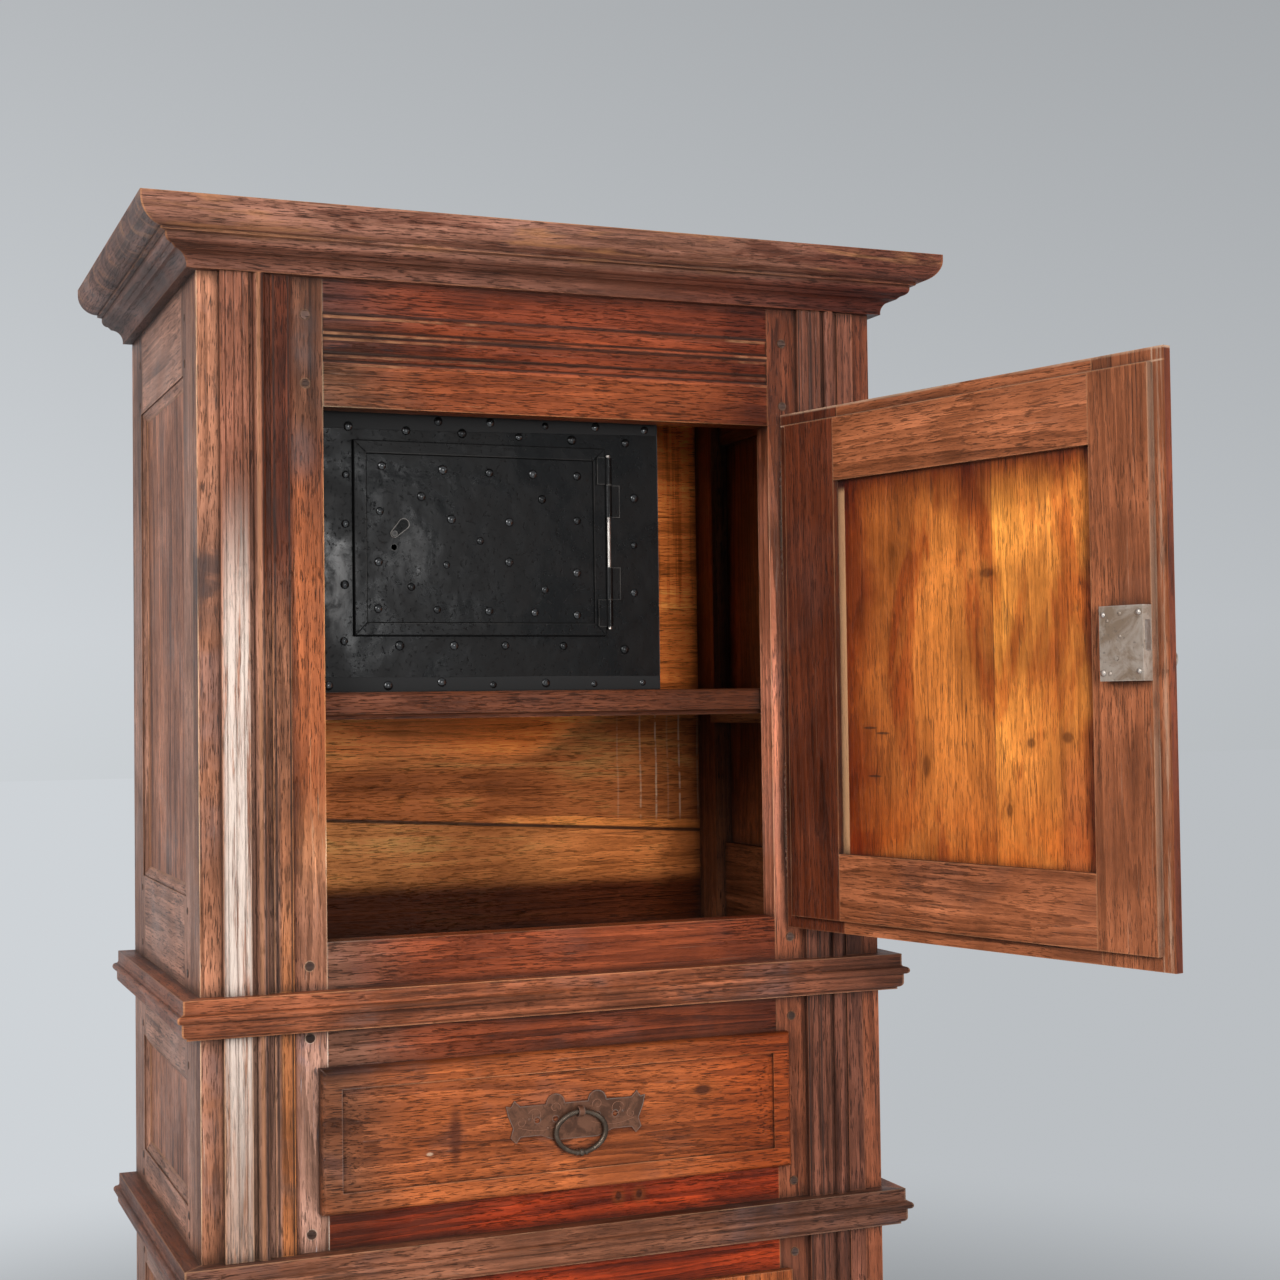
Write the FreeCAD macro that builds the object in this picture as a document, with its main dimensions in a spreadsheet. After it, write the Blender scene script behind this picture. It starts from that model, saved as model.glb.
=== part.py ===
import FreeCAD, Part
import os
import Sketcher

# Court cupboard: one door above, one drawer at the middle, one door below, and a strong box on the shelf.
# The origin is on the floor, at the middle of the carcass. X runs to the right, Y to the back, Z up.

V = FreeCAD.Vector
UP = V(0, 0, 1)

# Driving dimensions in millimetres, and turns in degrees.
SIZES = {
    # Carcass frame, from the floor up
    "carcass_width": 960,
    "carcass_depth": 557,
    "foot_height": 60,
    "base_rail_height": 110,
    "lower_opening_height": 449,
    "drawer_rail_height": 170,
    "drawer_opening_height": 159,
    "waist_rail_height": 172,
    "upper_opening_height": 689,
    "frieze_height": 166,
    "frame_rise": 56,
    "top_thickness": 22,
    "stile_width": 162,
    "stile_thickness": 35,
    "tenon_length": 50,
    "tenon_thickness": 11,
    "tenon_set": 12,
    "tenon_shoulder": 15,
    "peg_diameter": 12,
    "peg_inset": 23,
    "peg_proud": 1.5,
    # Side frames
    "side_thickness": 30,
    "side_stile_width": 77,
    "side_tongue": 10,
    "post_width": 102,
    "post_thickness": 45,
    "side_rail_tenon": 40,
    "side_tenon_thickness": 10,
    "top_side_rail_drop": 33,
    "waist_side_rail_drop": 16,
    "waist_side_rail_rise": 72,
    "lower_side_rail_drop": 16,
    "lower_side_rail_rise": 5,
    "base_side_rail_rise": 16,
    "side_panel_recess": 8,
    "side_panel_thickness": 10,
    "side_panel_tongue": 10,
    "side_border_width": 14,
    "side_border_step": 2,
    "side_border_fillet": 4,
    # Back, shelf, floors
    "back_set": 37,
    "plank_thickness": 18,
    "plank_tongue": 10,
    "shelf_height": 320,
    "shelf_thickness": 22,
    "shelf_front_set": 42,
    "nosing_height": 36,
    "nosing_depth": 20,
    "nosing_round": 7,
    "floor_drop": 60,
    "floor_thickness": 20,
    "cleat_thickness": 22,
    "cleat_height": 30,
    # Belt mouldings and base moulding
    "belt_drop": 60,
    "belt_height": 50,
    "belt_foot": 20,
    "belt_lip": 3,
    "belt_ovolo": 7,
    "belt_band_top": 22,
    "belt_step": 1.5,
    "belt_nose": 5,
    "belt_cove": 3.5,
    # Cornice
    "cornice_foot": 14,
    "cornice_lip": 3,
    "cornice_cavetto": 17,
    "cornice_slope_run": 5,
    "cornice_slope_rise": 4.4,
    "cornice_ovolo": 9,
    "cornice_fillet_rise": 3.6,
    "cornice_shelf_run": 6.6,
    "cornice_shelf_rise": 1,
    "cornice_step": 3.5,
    "cornice_crown": 28.4,
    "cornice_crown_rise": 0.1,
    "cornice_top_band": 8,
    # Pilaster mouldings
    "pilaster_inset": 28,
    "pilaster_flat_width": 36,
    "pilaster_flat_proud": 10,
    "pilaster_groove": 3,
    "pilaster_groove_depth": 1.2,
    "pilaster_channel": 5,
    "pilaster_gap": 6,
    "pilaster_bead": 8,
    "pilaster_bead_proud": 14,
    "pilaster_gutter": 7,
    "pilaster_gutter_proud": 3,
    "pilaster_fillet_width": 25,
    # Reeded band of the frieze
    "reed_rise": 60,
    "reed_cove": 11,
    "reed_flute": 22,
    "reed_bead": 7,
    "reed_depth": 3,
    "reed_bead_proud": 1.5,
    # Doors
    "hinge_offset": 19,
    "hinge_proud": 9,
    "door_gap": 4,
    "door_lip": 17.5,
    "door_lip_thickness": 12,
    "door_lip_gap": 0.5,
    "door_body_depth": 8.5,
    "hinge_stile_width": 98,
    "lock_stile_width": 88,
    "door_top_rail_width": 86,
    "door_bottom_rail_width": 90,
    "door_tenon_length": 60,
    "door_tenon_thickness": 8,
    "door_tenon_set": 4.5,
    "door_tenon_shoulder": 14,
    "door_panel_recess": 9,
    "door_panel_thickness": 8,
    "door_panel_tongue": 9,
    "door_field_margin": 16,
    "door_field_bevel": 26,
    "door_field_rise": 3,
    "door_border_width": 14,
    "upper_door_turn": 105,
    # Pin hinges of the doors
    "hinge_barrel_radius": 4.5,
    "hinge_barrel_length": 42,
    "hinge_finial_length": 42.5,
    "hinge_pin_radius": 2.5,
    "hinge_running_gap": 0.05,
    "hinge_end_gap": 0.3,
    "hinge_side_gap": 0.3,
    "hinge_blade_thickness": 3,
    "hinge_blade_depth": 34,
    "upper_hinge_low": 51,
    "upper_hinge_drop": 215,
    "lower_hinge_low": 42,
    "lower_hinge_drop": 211,
    # Locks and key
    "lock_width": 63,
    "lock_height": 87,
    "lock_depth": 16,
    "lock_plate": 2,
    "lock_rise": 18,
    "bolt_rise": 8.5,
    "bolt_height": 34,
    "bolt_thickness": 8,
    "bolt_length": 54,
    "bolt_set": 3,
    "bolt_throw": 10,
    "bolt_play": 0.5,
    "bolt_notch_depth": 7,
    "bolt_notch_start": 18,
    "bolt_notch_width": 32,
    "keeper_gap": 1.5,
    "key_inset": 37,
    "key_drop": 17.5,
    "drill_pin_radius": 2,
    "drill_pin_proud": 2,
    "key_shank_radius": 4,
    "key_running_gap": 0.05,
    "keyhole_gap": 1,
    "keyhole_slot_width": 5,
    "keyhole_slot_drop": 16,
    "key_bit_reach": 13,
    "key_bit_thickness": 3,
    "key_bit_length": 9,
    "key_end_gap": 1,
    "key_length": 72,
    "key_bow_radius": 11,
    "key_bow_wire": 2.5,
    "key_collar_radius": 5.5,
    "key_collar_length": 4,
    # Drawer
    "drawer_gap": 3,
    "drawer_lip": 13,
    "drawer_lip_thickness": 17.5,
    "drawer_lip_gap": 0.5,
    "drawer_lip_round": 7,
    "drawer_body_depth": 13,
    "drawer_border_width": 20,
    "drawer_field_bevel": 24,
    "drawer_field_groove": 4,
    "drawer_field_depth": 4,
    "drawer_side_thickness": 12,
    "drawer_side_height": 145,
    "drawer_rear_gap": 40,
    "dovetail_lap": 2,
    "dovetail_flare": 3,
    "drawer_base_rise": 8,
    "drawer_base_thickness": 9,
    "drawer_base_tongue": 6,
    "drawer_back_thickness": 12,
    "drawer_back_drop": 4,
    "drawer_play": 0.3,
    "runner_inner_edge": 22,
    "runner_thickness": 22,
    "guide_width": 21,
    "guide_height": 30,
    "guide_play": 0.5,
    # Drawer plate and ring
    "plate_shift": 12,
    "plate_width": 197,
    "plate_height": 56,
    "plate_thickness": 1.6,
    "plate_spike": 8,
    "plate_lobe": 13,
    "plate_hole": 4,
    "plate_rise": 4,
    "ring_shift": 4,
    "ring_rise": 8,
    "ring_width": 77,
    "ring_height": 61,
    "ring_wire": 3.5,
    "ring_knop_radius": 5.5,
    "ring_knop_length": 17,
    "eye_width": 8,
    "eye_wall": 2.5,
    "eye_play": 0.8,
    # Strong box
    "box_left": 341,
    "box_width": 515,
    "box_height": 374,
    "box_depth": 340,
    "box_set": 60,
    "box_wall": 14,
    "box_door_start": 76,
    "box_door_rise": 75,
    "box_hinge_side": 77,
    "box_door_drop": 39,
    "box_door_plate": 4,
    "box_door_border": 17,
    "box_door_border_rise": 2.5,
    "box_door_gap": 0.3,
    "box_rebate": 15,
    "box_hinge_gap": 5.3,
    "box_hinge_stand_off": 0.5,
    "box_knuckle_radius": 5,
    "box_knuckle_end": 38,
    "box_knuckle_fixed": 45,
    "box_knuckle_gap": 0.3,
    "box_hinge_inset": 12,
    "box_leaf_width": 18,
    "box_leaf_thickness": 3,
    "box_pin_radius": 3,
    "box_pin_over": 3,
    # Keyhole cover of the strong box
    "cover_across": 131,
    "cover_up": 211,
    "cover_eye": 5.5,
    "cover_lobe": 8,
    "cover_length": 18,
    "cover_thickness": 2.5,
    "cover_rivet_radius": 2,
    "cover_rivet_head": 4,
    "cover_rivet_head_height": 1.2,
    "cover_gap": 0.3,
    "cover_hole_gap": 0.1,
    "box_keyhole_radius": 4,
    "cover_turn": -135,
    # One overrun serves every cut
    "overrun": 2,
}

# Shares chosen by hand, each of the size named beside it.
PLANK_JOINT_SHARES = (0, 0.078, 0.247, 0.415, 0.583, 0.752, 0.920, 1)  # of the frame above the feet
FRIEZE_PEG_SHARES = (0.13, 0.53)  # of the rail's height
WAIST_PEG_SHARES = {-1: (0.30, 0.83), 1: (0.19, 0.83)}  # of the rail's height, left and right
DRAWER_RAIL_PEG_SHARES = (0.20, 0.78)  # of the rail's height
BASE_PEG_SHARES = (0.77,)  # of the rail's height
DOVETAIL_SHARES = ((0.06, 0.27), (0.40, 0.60), (0.73, 0.94))  # of the drawer side's height
PILASTER_GROOVE_SHARES = (0.2, 0.5, 0.8)  # of the raised flat's width
FINIAL_SHARES = (  # radius of the barrel's radius, height of the finial's length
    (1.0, 0.0),
    (1.22, 0.07),
    (0.72, 0.15),
    (1.18, 0.30),
    (0.70, 0.44),
    (1.02, 0.57),
    (0.52, 0.74),
    (0.88, 0.84),
    (0.30, 1.0),
)
FINIAL_WIDEST_SHARE = max(radius for radius, height in FINIAL_SHARES)
FORGED_SHARES = (  # corners of a bar hammered to eight faces, of its radius
    (0.924, 0.383),
    (0.383, 0.924),
    (-0.383, 0.924),
    (-0.924, 0.383),
    (-0.924, -0.383),
    (-0.383, -0.924),
    (0.383, -0.924),
    (0.924, -0.383),
)
PLATE_SHARES = (  # of the plate's half width and half height, and of its spikes
    (0.30, -1.0, 0.0),
    (0.52, -1.0, 1.0),
    (0.80, -1.0, 1.0),
    (0.86, -1.0, 0.0),
    (0.94, -1.0, 1.0),
    (0.90, -0.30, 0.0),
    (0.97, 0.30, 0.0),
    (1.0, 1.0, -0.8),
    (0.93, 1.0, -1.0),
    (0.88, 1.0, 0.0),
    (0.80, 1.0, -1.0),
)
PLATE_LOBE_SHARE = 0.30  # a lobe's centre, of the plate's half width
PLATE_HOLE_SHARES = (-0.56, -0.30, 0.30, 0.56)
QUARTER_OVAL_SHARE = 1 / (2 - 2 ** 0.5)  # of half width less half height: where an end centre lies
KNOP_CORE_SHARE = 0.6  # of the wire's radius, at the knop's ends
KNOP_SHARES = (  # place along the knop of its half length, radius between the wire's and the knop's
    (-1.0, 0.0),
    (-0.88, 0.55),
    (-0.62, 0.55),
    (-0.50, 0.15),
    (-0.22, 0.95),
    (0.0, 1.0),
    (0.22, 0.95),
    (0.50, 0.15),
    (0.62, 0.55),
    (0.88, 0.55),
    (1.0, 0.0),
)

doc = FreeCAD.newDocument("court_cupboard")


class Size:
    """A size of the model: its value, and the formula on the sheet that gives it."""

    def __init__(self, value, formula):
        self.value = value
        self.formula = formula

    def joined(self, other, sign, value):
        return Size(value, "(%s %s %s)" % (self.formula, sign, as_size(other).formula))

    def __add__(self, other):
        return self.joined(other, "+", self.value + as_size(other).value)

    def __sub__(self, other):
        return self.joined(other, "-", self.value - as_size(other).value)

    def __mul__(self, other):
        return self.joined(other, "*", self.value * as_size(other).value)

    def __truediv__(self, other):
        return self.joined(other, "/", self.value / as_size(other).value)

    def __neg__(self):
        return Size(-self.value, "(0 - %s)" % self.formula)

    def __rmul__(self, other):
        return self * other

    def __radd__(self, other):
        return self + other


def as_size(number):
    """A plain number as a size."""
    if isinstance(number, Size):
        return number
    return Size(float(number), "(%s)" % repr(float(number)))


class Sheet:
    """The spreadsheet of driving dimensions, read by alias."""

    def __init__(self, sizes):
        self.sizes = sizes
        self.cells = doc.addObject("Spreadsheet::Sheet", "sizes")
        for row, (alias, value) in enumerate(sizes.items(), 1):
            self.cells.set("A%d" % row, alias)
            self.cells.set("B%d" % row, str(value))
            self.cells.setAlias("B%d" % row, alias)
        doc.recompute()

    def __getattr__(self, alias):
        return Size(float(self.sizes[alias]), "sizes." + alias)


s = Sheet(SIZES)

# Places that many pieces share
HALF = s.carcass_width / 2
OPENING = HALF - s.stile_width
FRONT = -s.carcass_depth / 2
BACK = s.carcass_depth / 2
STILE_BACK = FRONT + s.stile_thickness
LOWER_SILL = s.foot_height + s.base_rail_height
LOWER_HEAD = LOWER_SILL + s.lower_opening_height
DRAWER_SILL = LOWER_HEAD + s.drawer_rail_height
DRAWER_HEAD = DRAWER_SILL + s.drawer_opening_height
UPPER_SILL = DRAWER_HEAD + s.waist_rail_height
UPPER_HEAD = UPPER_SILL + s.upper_opening_height
SOFFIT = UPPER_HEAD + s.frieze_height
FRAME_TOP = SOFFIT + s.frame_rise
SIDE_INNER = HALF - s.side_thickness
POST_INNER = HALF - s.post_thickness
SIDE_STILE_BACK = STILE_BACK + s.side_stile_width
POST_FRONT = BACK - s.post_width
BACK_INNER = BACK - s.back_set
DRAWER_REAR = BACK_INNER - s.drawer_rear_gap
SHELF_TOP = UPPER_SILL + s.shelf_height
LIP_BACK = s.hinge_proud - s.door_lip_gap
LIP_FRONT = LIP_BACK - s.door_lip_thickness
BODY_BACK = LIP_BACK + s.door_body_depth
SIDES = {"left": -1, "right": 1}


# Helpers


def bind(thing, path, size):
    """Ties one property of a thing to a size."""
    size = as_size(size)
    if "sizes." in size.formula:
        thing.setExpression(path, size.formula)
    elif "." not in path:
        setattr(thing, path, size.value)


def place(thing, x=0, y=0, z=0, turn=0, axis=UP):
    """Puts a thing at a place, turned about an axis through it."""
    turn = as_size(turn)
    thing.Placement = FreeCAD.Placement(V(0, 0, 0), FreeCAD.Rotation(axis, turn.value))
    bind(thing, "Placement.Rotation.Angle", turn)
    bind(thing, "Placement.Base.x", x)
    bind(thing, "Placement.Base.y", y)
    bind(thing, "Placement.Base.z", z)
    return thing


def board(name, x, y, z):
    """A squared board; x, y and z each give where it starts and ends."""
    box = doc.addObject("Part::Box", name)
    bind(box, "Length", x[1] - x[0])
    bind(box, "Width", y[1] - y[0])
    bind(box, "Height", z[1] - z[0])
    return place(box, x[0], y[0], z[0])


def rod(name, radius, start, length, along=UP):
    """A round bar from a start point, along an axis."""
    bar = doc.addObject("Part::Cylinder", name)
    bind(bar, "Radius", radius)
    bind(bar, "Height", length)
    place(bar, *start)
    bar.Placement = FreeCAD.Placement(V(0, 0, 0), FreeCAD.Rotation(UP, along))
    return bar


def frustum(name, near, far, x, z, spread):
    """A tapered block along Y: the rectangle x by z at the near end, grown by the spread at the far end."""
    block = doc.addObject("Part::Wedge", name)
    bind(block, "Ymin", near)
    bind(block, "Ymax", far)
    bind(block, "Xmin", x[0])
    bind(block, "Xmax", x[1])
    bind(block, "Zmin", z[0])
    bind(block, "Zmax", z[1])
    bind(block, "X2min", x[0] - spread)
    bind(block, "X2max", x[1] + spread)
    bind(block, "Z2min", z[0] - spread)
    bind(block, "Z2max", z[1] + spread)
    return block


def cut(name, base, tools):
    """A piece with tools taken out of it, one after another."""
    for number, tool in enumerate(tools, 1):
        step = doc.addObject("Part::Cut", name if number == len(tools) else "%s_cut_%d" % (name, number))
        step.Base = base
        step.Tool = tool
        base = step
    return base


def fuse(name, pieces):
    """Pieces joined into one."""
    whole = doc.addObject("Part::MultiFuse", name)
    whole.Shapes = pieces
    return whole


def group(name, pieces):
    """Like pieces kept together as separate solids."""
    whole = doc.addObject("Part::Compound", name)
    whole.Links = pieces
    return whole


def span(side, near, far):
    """A stretch of X from near to far on one side, in rising order."""
    return (near, far) if side > 0 else (-far, -near)


def origin_part(body, role):
    return [plane for plane in body.Origin.OriginFeatures if plane.Role == role][0]


def value_of(pair):
    return V(as_size(pair[0]).value, as_size(pair[1]).value, 0)


def hold(sketch, geometry, end, axis, size):
    """Constrains one coordinate of a point, measured from the sketch's origin."""
    size = as_size(size)
    number = sketch.addConstraint(Sketcher.Constraint("Distance" + axis, -1, 1, geometry, end, size.value))
    if "sizes." in size.formula:
        sketch.setExpression("Constraints[%d]" % number, size.formula)


def outline(body, name, role, points):
    """A closed sketch. A point is (u, v), or (u, v, cu, cv) where an arc about (cu, cv) leads to it."""
    sketch = body.newObject("Sketcher::SketchObject", name)
    sketch.AttachmentSupport = (origin_part(body, role), [""])
    sketch.MapMode = "FlatFace"
    count = len(points)
    ends = []
    for number in range(count):
        start, finish = points[number], points[(number + 1) % count]
        a, b = value_of(start), value_of(finish)
        if len(finish) == 2:
            ends.append((sketch.addGeometry(Part.LineSegment(a, b), False), 1, 2))
            continue
        centre = value_of(finish[2:])
        radius = a.distanceToPoint(centre)
        circle = Part.Circle(centre, UP, radius)
        left_turn = (a - centre).cross(b - centre).z > 0
        first, last = (a, b) if left_turn else (b, a)
        arc = Part.ArcOfCircle(circle, circle.parameter(first), circle.parameter(last))
        number = sketch.addGeometry(arc, False)
        ends.append((number, 1, 2) if left_turn else (number, 2, 1))
        hold(sketch, number, 3, "X", finish[2])
        hold(sketch, number, 3, "Y", finish[3])
    for number in range(count):
        here, after = ends[number], ends[(number + 1) % count]
        sketch.addConstraint(Sketcher.Constraint("Coincident", here[0], here[2], after[0], after[1]))
        point = points[number]
        arm = value_of(point) - value_of(point[2:]) if len(point) > 2 else None
        if arm is None or abs(arm.x) <= abs(arm.y):
            hold(sketch, here[0], here[1], "X", point[0])
        if arm is None or abs(arm.x) > abs(arm.y):
            hold(sketch, here[0], here[1], "Y", point[1])
    return sketch


def padded(name, role, points, length, both_ways=False):
    """A body made by padding an outline."""
    body = doc.addObject("PartDesign::Body", name)
    sketch = outline(body, name + "_outline", role, points)
    pad = body.newObject("PartDesign::Pad", name + "_pad")
    pad.Profile = sketch
    bind(pad, "Length", length)
    if both_ways:
        pad.SideType = "Symmetric"
    sketch.Visibility = False
    return body


def pocket_through(body, name, role, points):
    """Cuts an outline through the whole body."""
    sketch = outline(body, name + "_outline", role, points)
    pocket = body.newObject("PartDesign::Pocket", name)
    pocket.Profile = sketch
    pocket.Type = "ThroughAll"
    pocket.SideType = "Symmetric"
    return pocket


def turned(name, points):
    """A body turned about Z; a point is (radius, height)."""
    body = doc.addObject("PartDesign::Body", name)
    sketch = outline(body, name + "_outline", "XZ_Plane", points)
    turn = body.newObject("PartDesign::Revolution", name + "_turn")
    turn.Profile = sketch
    turn.ReferenceAxis = (origin_part(body, "Z_Axis"), [""])
    turn.Angle = 360
    return body


# Front frame


def rail(name, bottom, top, pegs):
    """A rail of the front frame, tenoned into both stiles and drilled for its pegs."""
    body = board(name + "_board", (-OPENING, OPENING), (FRONT, STILE_BACK), (bottom, top))
    return cut(name, fuse(name + "_tenoned", [body, rail_tenons(name, bottom, top)]), pegs)


def rail_tenons(name, bottom, top):
    reach = OPENING + s.tenon_length
    cheek = FRONT + s.tenon_set
    shoulder = s.tenon_shoulder
    y = (cheek, cheek + s.tenon_thickness)
    return board(name + "_tenons", (-reach, reach), y, (bottom + shoulder, top - shoulder))


def bulge(u, v0, v1, depth, outward):
    """The path entry of an arc from v0 to v1; it sinks by the depth, or stands proud where outward is 1."""
    half = (v1 - v0) / 2
    radius = (half * half + depth * depth) / (depth * 2)
    return (u, v1, u + (radius - depth) * outward, v0 + half)


def frieze_rail(pegs):
    """The top rail, whose face is run with a cove, two flutes and a bead between them."""
    start = UPPER_HEAD + s.reed_rise
    arris = start + s.reed_cove
    bead = arris + s.reed_flute
    bead_top = bead + s.reed_bead
    finish = bead_top + s.reed_flute
    points = [
        (FRONT, UPPER_HEAD),
        (FRONT, start),
        bulge(FRONT, start, arris, s.reed_depth, -1),
        bulge(FRONT, arris, bead, s.reed_depth, -1),
        bulge(FRONT, bead, bead_top, s.reed_bead_proud, 1),
        bulge(FRONT, bead_top, finish, s.reed_depth, -1),
        (FRONT, FRAME_TOP),
        (STILE_BACK, FRAME_TOP),
        (STILE_BACK, UPPER_HEAD),
    ]
    body = padded("frieze_rail_body", "YZ_Plane", points, OPENING * 2, both_ways=True)
    tenons = rail_tenons("frieze_rail", UPPER_HEAD, FRAME_TOP)
    return cut("frieze_rail", fuse("frieze_rail_tenoned", [body, tenons]), pegs)


def pegs(side, bottom, top, shares):
    """The pegs of one joint, driven from the face through the tenon."""
    x = (OPENING + s.peg_inset) * side
    face = FRONT - s.peg_proud
    made = []
    for share in shares:
        z = bottom + (top - bottom) * share
        length = s.stile_thickness + s.peg_proud
        made.append(rod("peg", s.peg_diameter / 2, (x, face, z), length, V(0, 1, 0)))
    return made


def front_stile(name, side, tools):
    """A full-height front stile, mortised by all that meets it."""
    x = span(side, OPENING, HALF)
    return cut(name, board(name + "_board", x, (FRONT, STILE_BACK), (as_size(0), FRAME_TOP)), tools)


# Side frames


def side_stile(name, side, tools):
    """The stile behind the front stile, tongued into its back."""
    x = span(side, SIDE_INNER, HALF)
    body = board(name + "_board", x, (STILE_BACK, SIDE_STILE_BACK), (as_size(0), FRAME_TOP))
    inner = SIDE_INNER + (s.side_thickness - s.side_tenon_thickness) / 2
    x = span(side, inner, inner + s.side_tenon_thickness)
    y = (STILE_BACK - s.side_tongue, STILE_BACK)
    tongue = board(name + "_tongue", x, y, (as_size(0), FRAME_TOP))
    return cut(name, fuse(name + "_tongued", [body, tongue]), tools)


def back_post(name, side, tools):
    x = span(side, POST_INNER, HALF)
    return cut(name, board(name + "_board", x, (POST_FRONT, BACK), (as_size(0), FRAME_TOP)), tools)


def side_rail_levels():
    """Bottom and top of each side rail, from the base up."""
    return (
        (s.foot_height, LOWER_SILL + s.base_side_rail_rise),
        (LOWER_HEAD - s.lower_side_rail_drop, DRAWER_SILL + s.lower_side_rail_rise),
        (DRAWER_HEAD - s.waist_side_rail_drop, UPPER_SILL + s.waist_side_rail_rise),
        (UPPER_HEAD + s.top_side_rail_drop, FRAME_TOP),
    )


def side_panel_levels():
    """Bottom and top of each field between two side rails."""
    levels = side_rail_levels()
    return [(levels[number][1], levels[number + 1][0]) for number in range(len(levels) - 1)]


def side_rails(name, side, fields):
    """The four rails of one side, tenoned into side stile and post, and grooved for their panels."""
    inner = SIDE_INNER + (s.side_thickness - s.side_tenon_thickness) / 2
    made = []
    for number, (bottom, top) in enumerate(side_rail_levels()):
        x = span(side, SIDE_INNER, HALF)
        body = board(name + "_board", x, (SIDE_STILE_BACK, POST_FRONT), (bottom, top))
        x = span(side, inner, inner + s.side_tenon_thickness)
        y = (SIDE_STILE_BACK - s.side_rail_tenon, POST_FRONT + s.side_rail_tenon)
        z = (bottom + s.tenon_shoulder, top - s.tenon_shoulder)
        tenons = board(name + "_tenons", x, y, z)
        met = fields[max(number - 1, 0):number + 1]
        made.append(cut(name + "_rail", fuse(name + "_tenoned", [body, tenons]), met))
    return made


def side_panels(name, side):
    """The three panels of one side, held in grooves, from the base up."""
    outer = HALF - s.side_panel_recess
    x = span(side, outer - s.side_panel_thickness, outer)
    tongue = s.side_panel_tongue
    y = (SIDE_STILE_BACK - tongue, POST_FRONT + tongue)
    levels = side_panel_levels()
    return [board(name + "_panel", x, y, (low - tongue, high + tongue)) for low, high in levels]


def side_fields(name, side, panels):
    """What each panel takes out of its frame: a groove, and a moulded border of a sunk step and a bevel."""
    outer = HALF - s.side_panel_recess
    step = HALF - s.side_border_step
    y = (SIDE_STILE_BACK, POST_FRONT)
    lateral = (-y[1], -y[0]) if side > 0 else y
    wide = s.side_border_width
    bevel = wide - s.side_border_fillet
    made = []
    for panel, (low, high) in zip(panels, side_panel_levels()):
        block = place(frustum(name + "_bevel", outer, step, lateral, (low, high), bevel), turn=-90 * side)
        x = span(side, step, HALF + s.overrun)
        sunk = board(name + "_step", x, (y[0] - wide, y[1] + wide), (low - wide, high + wide))
        made.append(fuse(name + "_field", [panel, block, sunk]))
    return made


# Back, shelf and floors


def back_planks():
    """Horizontal planks, tongued into the posts."""
    reach = POST_INNER + s.plank_tongue
    y = (BACK_INNER, BACK_INNER + s.plank_thickness)
    height = FRAME_TOP - s.foot_height
    levels = [s.foot_height + height * share for share in PLANK_JOINT_SHARES]
    made = []
    for low, high in zip(levels, levels[1:]):
        made.append(board("plank", (-reach, reach), y, (low, high)))
    return made


def shelf(posts):
    """The shelf, notched round the posts, with a moulded nosing along its front."""
    low = SHELF_TOP - s.nosing_height
    under = SHELF_TOP - s.shelf_thickness
    lead = FRONT + s.shelf_front_set
    heel = lead + s.nosing_depth
    turn = s.nosing_round
    points = [
        (lead + turn, low, lead, low),
        (heel, low),
        (heel, under),
        (BACK_INNER, under),
        (BACK_INNER, SHELF_TOP),
        (lead + turn, SHELF_TOP),
        (lead, SHELF_TOP - turn, lead + turn, SHELF_TOP - turn),
        (lead, low + turn),
    ]
    body = padded("shelf_board", "YZ_Plane", points, SIDE_INNER * 2, both_ways=True)
    return cut("shelf", body, posts)


def floor_board(name, top, posts):
    x = (-SIDE_INNER, SIDE_INNER)
    plain = board(name + "_board", x, (STILE_BACK, BACK_INNER), (top - s.floor_thickness, top))
    return cut(name, plain, posts)


def cleats():
    """The bearers of shelf and floors, nailed to the side frames."""
    tops = (
        LOWER_SILL - s.floor_drop - s.floor_thickness,
        UPPER_SILL - s.floor_drop - s.floor_thickness,
        SHELF_TOP - s.shelf_thickness,
    )
    made = []
    for side in SIDES.values():
        x = span(side, SIDE_INNER - s.cleat_thickness, SIDE_INNER)
        for top in tops:
            y = (FRONT + s.shelf_front_set + s.nosing_depth, POST_FRONT)
            made.append(board("cleat", x, y, (top - s.cleat_height, top)))
    return made


# Mouldings


def cornice_profile():
    """Outward and upward steps of the cornice: lip, cavetto, slope, ovolo, fillet and crown ovolo."""
    out = s.cornice_foot
    up = s.cornice_lip
    cavetto_out = out + s.cornice_cavetto
    cavetto_up = up + s.cornice_cavetto
    slope_out = cavetto_out + s.cornice_slope_run
    slope_up = cavetto_up + s.cornice_slope_rise
    ovolo_out = slope_out + s.cornice_ovolo
    ovolo_up = slope_up + s.cornice_ovolo
    fillet_up = ovolo_up + s.cornice_fillet_rise
    shelf_out = ovolo_out + s.cornice_shelf_run
    shelf_up = fillet_up + s.cornice_shelf_rise
    step_up = shelf_up + s.cornice_step
    crown_out = shelf_out + s.cornice_crown
    crown_up = step_up + s.cornice_crown
    top = crown_up + s.cornice_top_band + s.cornice_crown_rise
    return [
        (as_size(0), as_size(0)),
        (out, as_size(0)),
        (out, up),
        (cavetto_out, cavetto_up, cavetto_out, up),
        (slope_out, slope_up),
        (ovolo_out, ovolo_up, slope_out, ovolo_up),
        (ovolo_out, fillet_up),
        (shelf_out, shelf_up),
        (shelf_out, step_up),
        (crown_out, crown_up, shelf_out, crown_up),
        (crown_out, top),
        (as_size(0), top),
    ]


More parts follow.
